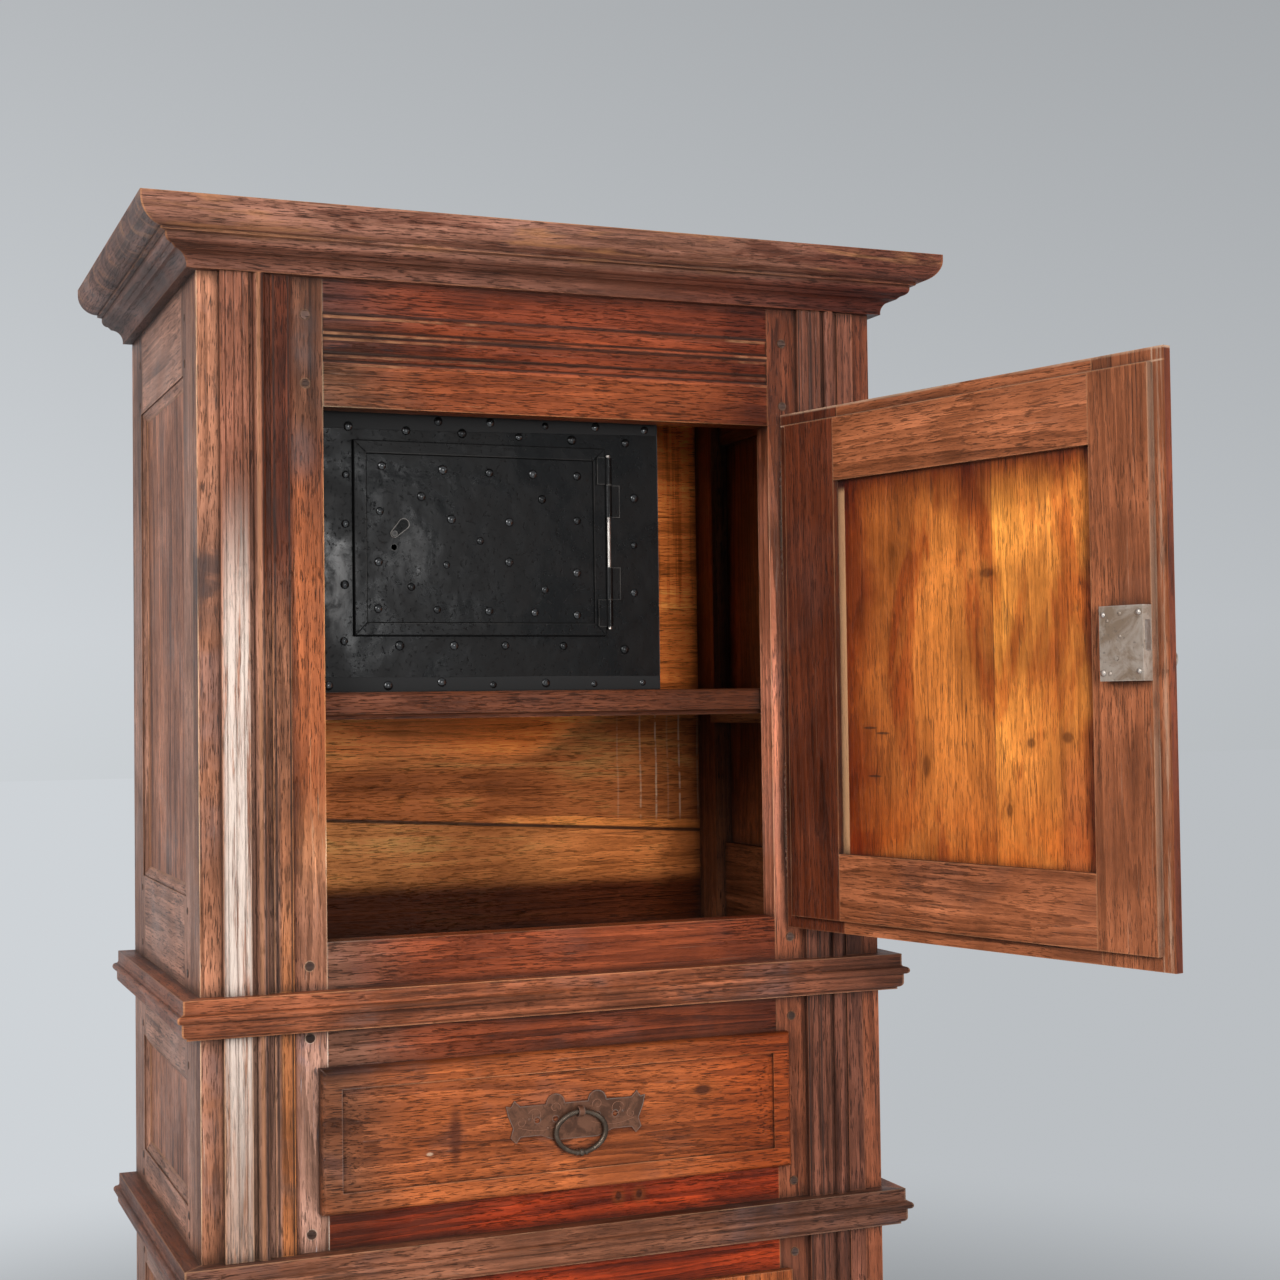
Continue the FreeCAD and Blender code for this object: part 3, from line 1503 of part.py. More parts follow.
def strongbox_door():
    """The iron door: plate, flat border, two knuckles, and the rivet of the keyhole cover."""
    case_x, case_y, case_z = box_places()
    leaf_x, leaf_z, axis = box_door_places()
    back = case_y[0] - s.box_door_gap
    plate_face = back - s.box_door_plate
    face = plate_face - s.box_door_border_rise
    blank = board("box_leaf_blank", leaf_x, (face, back), leaf_z)
    border = s.box_door_border
    x = (leaf_x[0] + border, leaf_x[1] - border)
    z = (leaf_z[0] + border, leaf_z[1] - border)
    sunk = board("box_leaf_sunk", x, (face - s.overrun, plate_face), z)
    leaf = cut("box_leaf", blank, [sunk])
    parts = [leaf]
    bores = []
    for level, height in box_door_levels():
        parts.append(box_knuckle(level, height, s.box_knuckle_radius, axis))
        strap_x = (axis[0] - s.box_leaf_width, axis[0])
        strap_y = (face - s.box_leaf_thickness, face)
        parts.append(board("box_door_strap", strap_x, strap_y, (level, level + height)))
        radius = s.box_pin_radius + s.hinge_running_gap
        bores.append(box_knuckle(level - s.overrun, height + s.overrun * 2, radius, axis))
    pivot_x, pivot_z = cover_place()
    reach = s.cover_thickness + s.cover_gap * 2
    start = (pivot_x, plate_face, pivot_z)
    parts.append(rod("cover_rivet", s.cover_rivet_radius, start, reach, V(0, -1, 0)))
    start = (pivot_x, plate_face - reach, pivot_z)
    parts.append(rod("cover_rivet_head", s.cover_rivet_head, start, s.cover_rivet_head_height, V(0, -1, 0)))
    hole_z = pivot_z - s.cover_length
    start = (pivot_x, back + s.overrun, hole_z)
    length = s.box_door_plate + s.overrun * 2
    bores.append(rod("box_keyhole", s.box_keyhole_radius, start, length, V(0, -1, 0)))
    return cut("strongbox_door", fuse("box_door_blank", parts), bores)


def strongbox_hinge_pin():
    leaf_x, leaf_z, axis = box_door_places()
    low, high = box_hinge_ends()
    start = (axis[0], axis[1], low - s.box_pin_over)
    return rod("strongbox_hinge_pin", s.box_pin_radius, start, high - low + s.box_pin_over * 2)


def strongbox_keyhole_cover():
    """A drop-shaped plate that hangs from its rivet; here it stands swung aside."""
    case_x, case_y, case_z = box_places()
    eye = s.cover_eye
    lobe = s.cover_lobe
    long = s.cover_length
    nought = as_size(0)
    points = [
        (-eye, nought),
        (nought, eye, nought, nought),
        (eye, nought, nought, nought),
        (lobe, -long),
        (nought, -long - lobe, nought, -long),
        (-lobe, -long, nought, -long),
    ]
    blank = padded("cover_blank", "XZ_Plane", points, s.cover_thickness)
    radius = s.cover_rivet_radius + s.cover_hole_gap
    hole = rod("cover_hole", radius, (0, s.overrun, 0), s.cover_thickness + s.overrun * 2, V(0, -1, 0))
    cover = cut("strongbox_keyhole_cover", blank, [hole])
    pivot_x, pivot_z = cover_place()
    y = case_y[0] - s.box_door_gap - s.box_door_plate - s.cover_gap
    return place(cover, pivot_x, y, pivot_z, s.cover_turn, V(0, 1, 0))


# Assembly


def front_frame(pieces, post_hinges, keepers):
    """Stiles, rails, pegs and the side stiles' grooves."""
    levels = {
        "base_rail": (s.foot_height, LOWER_SILL),
        "drawer_rail": (LOWER_HEAD, DRAWER_SILL),
        "waist_rail": (DRAWER_HEAD, UPPER_SILL),
        "frieze_rail": (UPPER_HEAD, FRAME_TOP),
    }
    shares = {
        "base_rail": {-1: BASE_PEG_SHARES, 1: BASE_PEG_SHARES},
        "drawer_rail": {-1: DRAWER_RAIL_PEG_SHARES, 1: DRAWER_RAIL_PEG_SHARES},
        "waist_rail": WAIST_PEG_SHARES,
        "frieze_rail": {-1: FRIEZE_PEG_SHARES, 1: FRIEZE_PEG_SHARES},
    }
    all_pegs = {-1: [], 1: []}
    rails = []
    for name, (bottom, top) in levels.items():
        own = []
        for side in SIDES.values():
            made = pegs(side, bottom, top, shares[name][side])
            all_pegs[side] += made
            own += made
        own = [group(name + "_pegs", own)]
        pieces[name] = frieze_rail(own) if name == "frieze_rail" else rail(name, bottom, top, own)
        rails.append(pieces[name])
    pieces["frame_pegs"] = group("frame_pegs", all_pegs[-1] + all_pegs[1])
    extras = {-1: keepers, 1: post_hinges}
    for word, side in SIDES.items():
        tools = rails + [group("pegs_" + word, all_pegs[side]), pieces["side_stile_" + word]]
        tools.append(group("stile_ironwork_" + word, extras[side]))
        pieces["front_stile_" + word] = front_stile("front_stile_" + word, side, tools)


def side_frames(pieces, planks):
    for word, side in SIDES.items():
        panels = side_panels("side_" + word, side)
        fields = side_fields("side_" + word, side, panels)
        rails = side_rails("side_" + word, side, fields)
        pieces["side_panels_" + word] = group("side_panels_" + word, panels)
        pieces["side_rails_" + word] = group("side_rails_" + word, rails)
        tools = rails + fields
        pieces["side_stile_" + word] = side_stile("side_stile_" + word, side, tools)
        pieces["back_post_" + word] = back_post("back_post_" + word, side, tools + [planks])


def node_name(door, word):
    """A lock's parts are named for their level, all others for their door."""
    if word in ("lock_case", "lock_bolt"):
        return door.name.replace("_door", "_" + word)
    return door.name + "_" + word


def doors(pieces):
    """Both doors, hung, and the key in the upper lock. Returns the fixed hinge halves and keepers."""
    nought = as_size(0)
    upper, upper_made = door_pieces(
        "upper_door", UPPER_SILL, UPPER_HEAD, s.upper_door_turn, s.upper_hinge_low, s.upper_hinge_drop
    )
    lower, lower_made = door_pieces(
        "lower_door", LOWER_SILL, LOWER_HEAD, nought, s.lower_hinge_low, s.lower_hinge_drop
    )
    rails = [lower_made.pop("top_rail"), lower_made.pop("bottom_rail")]
    lower_made["rails"] = group("lower_door_rail_pair", rails)
    for door, made in ((upper, upper_made), (lower, lower_made)):
        for word, piece in made.items():
            label = node_name(door, word)
            pieces[label] = door.hang(group(label, [piece]))
    pieces["upper_key"] = upper.hang(group("upper_key", [key(upper)]))
    levels = hinge_levels(UPPER_SILL, UPPER_HEAD, s.upper_hinge_low, s.upper_hinge_drop)
    levels += hinge_levels(LOWER_SILL, LOWER_HEAD, s.lower_hinge_low, s.lower_hinge_drop)
    hinges = [post_hinge(level) for level in levels]
    pieces["post_hinges"] = group("post_hinges", hinges)
    return hinges, [upper.keeper(), lower.keeper()]


def inside(pieces, posts):
    pieces["shelf"] = shelf(posts)
    pieces["compartment_floor"] = floor_board("compartment_floor", UPPER_SILL - s.floor_drop, posts)
    pieces["bottom_floor"] = floor_board("bottom_floor", LOWER_SILL - s.floor_drop, posts)
    pieces["cleats"] = group("cleats", cleats())
    pieces["drawer_runners"] = group("drawer_runners", drawer_runners())
    pieces["strongbox_case"] = strongbox_case()
    pieces["strongbox_door"] = strongbox_door()
    pieces["strongbox_hinge_pin"] = strongbox_hinge_pin()
    pieces["strongbox_keyhole_cover"] = strongbox_keyhole_cover()


def drawer(pieces):
    base = drawer_base()
    sides = drawer_sides(base)
    pieces["drawer_bottom"] = base
    pieces["drawer_sides"] = group("drawer_sides", sides)
    pieces["drawer_back"] = drawer_back()
    pieces["drawer_front"] = drawer_front(sides + [base])
    pieces["drawer_plate"] = drawer_plate()
    pieces["drawer_ring"] = drawer_ring()


def mouldings(pieces):
    lengths = ("front", "left", "right")
    named = {
        "cornice": (cornice_profile(), SOFFIT),
        "waist_moulding": (belt_profile(), UPPER_SILL - s.belt_drop - s.belt_height),
        "drawer_moulding": (belt_profile(), DRAWER_SILL - s.belt_drop - s.belt_height),
    }
    for name, (profile, level) in named.items():
        for word, piece in zip(lengths, moulding(name, profile, level)):
            pieces["%s_%s" % (name, word)] = piece
    base = moulding("base", belt_profile(), LOWER_SILL - s.belt_drop - s.belt_height)
    pieces["base_moulding"] = group("base_moulding", base)
    pieces["pilaster_mouldings"] = group("pilaster_mouldings", pilaster_mouldings())


def build():
    """Every sub-part, by its node's name."""
    pieces = {}
    planks = group("back_planks", back_planks())
    pieces["back_planks"] = planks
    side_frames(pieces, planks)
    hinges, keepers = doors(pieces)
    front_frame(pieces, hinges, keepers)
    top = (FRAME_TOP, FRAME_TOP + s.top_thickness)
    pieces["top_board"] = board("top_board", (-HALF, HALF), (FRONT, BACK), top)
    inside(pieces, [pieces["back_post_left"], pieces["back_post_right"]])
    drawer(pieces)
    mouldings(pieces)
    return pieces


def check(pieces):
    """Stops if anything failed to compute, or a sub-part has no valid solid."""
    for thing in doc.Objects:
        if "Invalid" in thing.State or "Error" in thing.State:
            raise RuntimeError("%s failed: %s" % (thing.Name, thing.State))
    for name, piece in pieces.items():
        shape = piece.Shape
        if shape.isNull() or not shape.isValid() or not shape.Solids:
            raise RuntimeError(name + " has no valid solid")


def write(pieces):
    """Writes one STEP file for each sub-part."""
    os.makedirs("parts", exist_ok=True)
    for name, piece in sorted(pieces.items()):
        piece.Label = name
        piece.Shape.exportStep("parts/%s.step" % name)
        print("%-26s %2d solids %12.0f mm3" % (name, len(piece.Shape.Solids), piece.Shape.Volume))


parts = build()
doc.recompute()
check(parts)
write(parts)
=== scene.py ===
import math

import bmesh
import bpy
from mathutils import Matrix, Vector


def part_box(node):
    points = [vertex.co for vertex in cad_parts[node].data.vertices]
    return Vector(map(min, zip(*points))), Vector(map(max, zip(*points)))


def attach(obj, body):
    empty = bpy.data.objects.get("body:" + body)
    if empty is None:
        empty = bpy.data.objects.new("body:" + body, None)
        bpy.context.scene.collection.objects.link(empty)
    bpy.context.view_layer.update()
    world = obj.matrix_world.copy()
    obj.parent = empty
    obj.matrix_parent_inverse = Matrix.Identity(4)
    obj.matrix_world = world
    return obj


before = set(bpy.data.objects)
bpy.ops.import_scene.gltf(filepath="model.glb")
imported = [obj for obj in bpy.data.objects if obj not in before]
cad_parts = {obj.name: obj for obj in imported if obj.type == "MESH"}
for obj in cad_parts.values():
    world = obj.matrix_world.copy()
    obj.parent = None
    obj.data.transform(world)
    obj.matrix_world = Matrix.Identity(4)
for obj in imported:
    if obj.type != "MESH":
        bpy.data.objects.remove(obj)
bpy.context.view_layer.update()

bl_info = {
    "name": "Court cupboard",
    "version": (1, 0, 0),
    "blender": (4, 5, 0),
    "location": "3D View > Sidebar > Cupboard",
    "description": "Dresses an old oak cupboard with its iron strong box and sets it on a stage",
    "category": "Object",
}

AXES = {"X": 0, "Y": 1, "Z": 2}
FORWARD = Vector((0, -1, 0))

# Places taken from the frame
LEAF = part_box("strongbox_door")
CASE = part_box("strongbox_case")
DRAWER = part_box("drawer_front")
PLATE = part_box("drawer_plate")

# The doors: the upper one stands open, the lower one is shut
DOOR_TURN = math.radians(105)
DOOR_AXIS = Vector((0.337, -0.2875, 0))
DOOR_TURNS = {"upper_door": Matrix.Rotation(DOOR_TURN, 3, "Z"), "lower_door": Matrix.Identity(3)}
DOOR_SPANS = {"upper_door": (1.1065, 1.8225), "lower_door": (0.1565, 0.6325)}
DOOR_LIP = -0.0035
LOCK_FACE = 0.033
DOOR_PEGS = (  # x from the hinge axis, z from the door's top where it is below 0, else from its foot
    *((-0.072, -0.0325), (-0.092, -0.0805), (-0.614, -0.0325), (-0.592, -0.0805)),
    *((-0.072, 0.0335), (-0.092, 0.0855), (-0.614, 0.0335), (-0.592, 0.0855)),
)
LOCK_NAILS = ((-0.5937, 1.5160), (-0.6450, 1.5175), (-0.5930, 1.4485), (-0.6450, 1.4500))
LOCK_PINS = ((-0.6180, 1.5170), (-0.6000, 1.5090), (-0.6030, 1.4478), (-0.6180, 1.4905))

# The side frames' pegs
SIDE_FACE = 0.480
SIDE_PEG_LEVELS = (0.140, 0.180, 0.632, 0.670, 0.745, 0.770, 0.962, 1.000, 1.080, 1.160, 1.870, 1.930)
SIDE_PEG_DEPTHS = (-0.190, 0.200)

# An escutcheon's right half about its keyhole, in shares of its half width and its height
KEYHOLE_X = -0.614
KEYHOLE_DROP = 0.0175
KEYHOLE_EYE = 0.0048
KEYHOLE_SLOT = ((0.0020, -0.0050), (0.0020, -0.0150), (0, -0.0150))
SHIELD_SIZE = (0.023, 0.092)
SHIELD_DEPTH = 0.0014
SHIELD_SHAPE = (
    *((0, 0.54), (0.30, 0.50), (0.42, 0.40), (0.95, 0.40), (1.00, 0.30), (0.72, 0.16)),
    *((0.82, -0.02), (0.78, -0.18), (0.46, -0.32), (0.16, -0.38), (0, -0.50)),
)
SHIELD_NAILS = ((-0.018, 0.030), (0.018, 0.030), (-0.014, -0.012), (0.014, -0.012), (0, 0.044), (0, -0.036))

# The drawer plate, from its middle
SCROLLS = (  # centre, radius, first and last angle
    ((0.058, 0.004), 0.010, 20, 400),
    ((0.030, 0.012), 0.008, 200, -120),
    ((0.078, -0.004), 0.007, 100, 420),
)
PLATE_NAILS = ((-0.066, 0.0), (0.066, 0.0), (-0.040, -0.014), (0.040, -0.014))

# The strong box
LEAF_PLATE = 0.004
LEAF_RIGHT = 0.0917
STRAP_WIDTH = 0.0172
CASE_DEPTH = 0.34
CASE_RIVETS = (  # shares of the case's width and height
    *((0.137, 0.945), (0.291, 0.937), (0.378, 0.975), (0.443, 0.935), (0.521, 0.978), (0.601, 0.930)),
    *((0.675, 0.974), (0.751, 0.926), (0.819, 0.978), (0.962, 0.974), (0.906, 0.923), (0.130, 0.772)),
    *((0.128, 0.597), (0.125, 0.381), (0.122, 0.181), (0.930, 0.717), (0.928, 0.540), (0.927, 0.362)),
    *((0.897, 0.150), (0.269, 0.165), (0.416, 0.165), (0.557, 0.165), (0.721, 0.163), (0.237, 0.022)),
    *((0.381, 0.033), (0.522, 0.022), (0.669, 0.027), (0.807, 0.022), (0.948, 0.026), (0.035, 0.945)),
    *((0.030, 0.772), (0.032, 0.597), (0.030, 0.381), (0.034, 0.181), (0.080, 0.024)),
)
LEAF_RIVETS = (  # shares of the leaf's width and height
    *((0.109, 0.871), (0.346, 0.861), (0.530, 0.852), (0.706, 0.853), (0.887, 0.850), (0.261, 0.719)),
    *((0.742, 0.721), (0.100, 0.637), (0.378, 0.604), (0.608, 0.596), (0.885, 0.612), (0.491, 0.494)),
    *((0.094, 0.377), (0.357, 0.367), (0.606, 0.386), (0.882, 0.334), (0.219, 0.251), (0.750, 0.243)),
    *((0.091, 0.138), (0.319, 0.134), (0.524, 0.128), (0.708, 0.122), (0.881, 0.110)),
)
SIDE_RIVET_DEPTHS = (0.10, 0.30, 0.5, 0.7, 0.9)  # shares of the case's depth
SIDE_RIVET_LEVELS = (0.06, 0.35, 0.65, 0.94)  # shares of its height
TOP_LAP_EDGE = ((-0.12, 1.7915), (0.03, 1.7945))
FOOT_LAP_EDGE = ((0.02, 1.4600), (-0.15, 1.4592))

# Places of marks on the oak. Each knot or patch is a middle with its radii.
PANEL_KNOTS = (
    ((-0.390, 0, 1.578), (0.016, 0.05, 0.008)),
    ((-0.279, 0, 1.335), (0.009, 0.05, 0.020)),
    ((-0.458, 0, 1.366), (0.009, 0.05, 0.008)),
    ((-0.516, 0, 1.373), (0.011, 0.05, 0.009)),
    ((-0.421, 0, 1.283), (0.007, 0.05, 0.011)),
)
PANEL_DASHES = ((-0.176, 0, 1.384), (-0.184, 0, 1.320), (-0.200, 0, 1.377))
STILE_PATCHES = (
    ((-0.345, -0.28, 1.905), (0.03, 0.05, 0.075)),
    ((-0.350, -0.28, 1.750), (0.03, 0.05, 0.05)),
    ((-0.345, -0.28, 1.230), (0.025, 0.05, 0.12)),
)
PILASTER_GROOVES = (0.3985, 0.3830, 0.3640)
FRIEZE_REEDS = (1.869, 1.880, 1.902, 1.909, 1.931)
PLANK_JOINTS = (0.214, 0.546, 0.878, 1.210, 1.542, 1.874)
PLANK_SLOPE = 0.0575
PLANK_SCRATCHES = (  # place and strength
    *((0.289, 0.25), (0.329, 0.6), (0.357, 0.9), (0.378, 0.2), (0.399, 0.9), (0.432, 0.5), (0.447, 0.3)),
)

# Looks
FIGURE = (  # tones of the oak's figure, each with its share of the oak's colour and its warmth
    (0.39, (0.20, 0.10)),
    (0.46, (0.62, 0.06)),
    (0.53, (1.12, 0.0)),
    (0.61, (1.90, -0.04)),
)
OAK_SHINE = 0.24
COAT_ROUGHNESS = 0.28
HEAD_SHAPE = {"Segments": 12, "Rings": 8, "Radius": 1}
SLAB_SOFTENING = 0.0004
RIGHT_SHADE = 0.80
SHADE_START, SHADE_END = 0.08, 0.64


# Settings


def number_of(name, description, value, **more):
    return bpy.props.FloatProperty(name=name, description=description, default=value, **more)


def vector_of(name, description, value, **more):
    return bpy.props.FloatVectorProperty(name=name, description=description, default=value, size=3, **more)


def colour_of(*words):
    return vector_of(*words, subtype="COLOR", min=0, max=1)


def length_of(*words):
    return number_of(*words, subtype="DISTANCE", unit="LENGTH", min=0)


def share_of(*words):
    return number_of(*words, subtype="FACTOR", min=0, max=1)


def power_of(*words):
    return number_of(*words, unit="POWER", min=0)


class OakColours(bpy.types.PropertyGroup):
    """The oak's middle colour on each part of the cupboard."""

    cornice: colour_of("Cornice", "Oak of the cornice", (0.26, 0.113, 0.073))
    frieze: colour_of("Frieze", "Oak of the frieze rail", (0.2, 0.04, 0.014))
    left_stile: colour_of("Left stile", "Oak of the left front stile", (0.145, 0.04, 0.0165))
    right_stile: colour_of("Right stile", "Oak of the right front stile", (0.27, 0.08, 0.036))
    pilaster: colour_of("Pilasters", "Oak of the applied pilaster mouldings", (0.29, 0.13, 0.08))
    waist: colour_of("Waist rail", "Oak of the rail under the upper door", (0.26, 0.056, 0.0185))
    belt: colour_of("Belts", "Oak of the belt mouldings", (0.265, 0.083, 0.037))
    side_frame: colour_of("Side frame", "Oak of the side stiles, posts and rails", (0.44, 0.205, 0.13))
    side_panel: colour_of("Side panels", "Oak of the side panels", (0.43, 0.165, 0.086))
    door_frame: colour_of("Door frame", "Oak of the doors' stiles and rails", (0.37, 0.117, 0.047))
    hinge_stile: colour_of("Hinge stile", "Darker oak beside the hinges", (0.125, 0.028, 0.0105))
    door_panel: colour_of("Door panel", "Oak of the upper door's panel", (0.5, 0.138, 0.027))
    drawer: colour_of("Drawer front", "Oak of the drawer front", (0.32, 0.08, 0.021))
    back: colour_of("Back planks", "Oak of the planks at the back", (0.76, 0.265, 0.08))
    inside: colour_of("Inside", "Oak of the floors, cleats and drawer box", (0.32, 0.15, 0.065))
    shelf: colour_of("Shelf", "Dark oak of the shelf", (0.115, 0.034, 0.0145))
    worn: colour_of("Worn oak", "Bare oak where hands and knocks took the finish off", (0.52, 0.33, 0.22))
    # this colour is also laid as a painted highlight along the frieze's reeds and the pilaster's bead
    arris: colour_of("Arrises", "Oak on the rubbed arrises", (0.42, 0.19, 0.090))
    patina: colour_of("Old finish", "Grey bloom of the old finish", (0.145, 0.095, 0.085))
    # this colour is dirt in pores, cracks and joints, and also painted shade in corners and grooves
    dirt: colour_of("Dirt", "Dirt in pores and corners", (0.022, 0.012, 0.009))


class OakSizes(bpy.types.PropertyGroup):
    """Sizes of the oak's grain and wear."""

    streak_width: length_of("Streak width", "Width of a streak in the grain", 0.0075)
    streak_length: length_of("Streak length", "Length of a streak in the grain", 0.30)
    band_width: length_of("Band width", "Width of the broad bands of colour", 0.07)
    pore_width: length_of("Pore width", "Spacing of the open pores across the grain", 0.0016)
    pore_length: length_of("Pore length", "Length of an open pore", 0.022)
    edge_wear: length_of("Edge wear", "How far the worn arrises reach", 0.0019)
    # this reach is that of the dirt and the painted shade in corners
    corner_dirt_and_shade: length_of("Corner dirt", "How far dirt spreads out of corners", 0.022)
    peg_radius: length_of("Peg radius", "Radius of the pegs in the door and side joints", 0.0055)
    peg_height: length_of("Peg height", "How far a peg stands out", 0.0011)


class IronLook(bpy.types.PropertyGroup):
    """Colours and sizes of the ironwork."""

    box: colour_of("Strong box", "Black iron of the strong box", (0.0018, 0.0019, 0.002))
    box_rust: colour_of("Strong box rust", "Brown rust on the black iron", (0.0034, 0.003, 0.0028))
    lock: colour_of("Lock plate", "Worn iron of the locks", (0.38, 0.31, 0.255))
    hinge: colour_of("Hinges", "Dark iron of the door hinges", (0.34, 0.29, 0.25))
    mount: colour_of("Drawer plate", "Dark iron of the drawer plate and ring", (0.17, 0.073, 0.041))
    # this colour is also laid on iron arrises as a painted highlight, mixed with rubbed wear
    bright: colour_of("Bright iron", "Rubbed iron of the pin and nail heads", (0.62, 0.57, 0.52))
    rivet_radius: length_of("Rivet radius", "Radius of a rivet head on the strong box", 0.0060)
    rivet_height: length_of("Rivet height", "Height of a rivet head", 0.0034)
    nail_radius: length_of("Nail radius", "Radius of a nail head on the locks and plates", 0.0040)
    nail_height: length_of("Nail height", "Height of a nail head", 0.0022)
    lap: length_of("Lap", "How far the strips lapped over the box stand out", 0.0012)
    size_change: share_of("Size change", "How much hand-made heads differ", 0.16)


class StageLook(bpy.types.PropertyGroup):
    """Backdrop, lamps and camera."""

    backdrop_top: colour_of("Backdrop above", "Backdrop colour high up", (0.46, 0.48, 0.50))
    backdrop_middle: colour_of("Backdrop middle", "Backdrop colour at mid height", (0.62, 0.65, 0.68))
    backdrop_low: colour_of("Backdrop below", "Backdrop colour low down", (0.55, 0.58, 0.59))
    floor: colour_of("Floor", "Floor colour", (0.50, 0.52, 0.54))
    key_power: power_of("Main lamp", "Power of the large soft lamp", 110)
    front_power: power_of("Front lamp", "Power of the lamp that lights the inside", 105)
    window_power: power_of("Window lamp", "Power of the small lamp that shows in the iron", 9)
    fill_power: power_of("Fill lamp", "Power of the lamp on the right", 14)
    daylight: share_of("Daylight", "Strength of the even light all round", 0.36)
    focal_length: number_of("Focal length", "The camera's focal length", 56.57, unit="CAMERA", min=1)
    camera_place: vector_of(
        "Camera place",
        "Where the camera stands",
        (-0.9194, -2.8255, 1.4202),
        subtype="TRANSLATION",
        unit="LENGTH",
    )
    camera_turn: vector_of(
        "Camera turn",
        "Which way the camera looks",
        (1.602409, 0.012894, -0.386942),
        subtype="EULER",
        unit="ROTATION",
    )


# Shader helpers


class Tree:
    """A node tree under way: adds nodes, and joins or sets their sockets."""

    def __init__(self, tree):
        self.tree = tree

    def add(self, kind, sockets=None, **settings):
        node = self.tree.nodes.new(kind)
        for word, value in settings.items():
            setattr(node, word, value)
        for word, value in (sockets or {}).items():
            self.feed(node.inputs[word], value)
        return node

    def feed(self, socket, value):
        if isinstance(value, bpy.types.NodeSocket):
            self.tree.links.new(value, socket)
        elif socket.type == "RGBA" and len(value) == 3:
            socket.default_value = (*value, 1)
        else:
            socket.default_value = value

    def maths(self, operation, first, second=0.0, third=0.0):
        node = self.add("ShaderNodeMath", {0: first, 1: second, 2: third}, operation=operation)
        return node.outputs[0]

    def times(self, first, *others):
        for other in others:
            first = self.maths("MULTIPLY", first, other)
        return first

    def most(self, first, *others):
        for other in others:
            first = self.maths("MAXIMUM", first, other)
        return first

    def vector_maths(self, operation, sockets, output=0):
        return self.add("ShaderNodeVectorMath", sockets, operation=operation).outputs[output]

    def ramp(self, value, stops):
        node = self.add("ShaderNodeValToRGB", {"Fac": value})
        points = node.color_ramp.elements
        points[0].position, points[0].color = stops[0][0], (*stops[0][1], 1)
        points[1].position, points[1].color = stops[-1][0], (*stops[-1][1], 1)
        for place, colour in stops[1:-1]:
            points.new(place).color = (*colour, 1)
        return node.outputs[0]

    def axis(self, vector, letter):
        return self.add("ShaderNodeSeparateXYZ", {0: vector}).outputs[AXES[letter]]

    def seen(self):
        """1 for rays from the camera, and for those from a shiny or a clear face."""
        rays = self.add("ShaderNodeLightPath").outputs
        return self.most(rays["Is Camera Ray"], rays["Is Glossy Ray"], rays["Is Transmission Ray"])


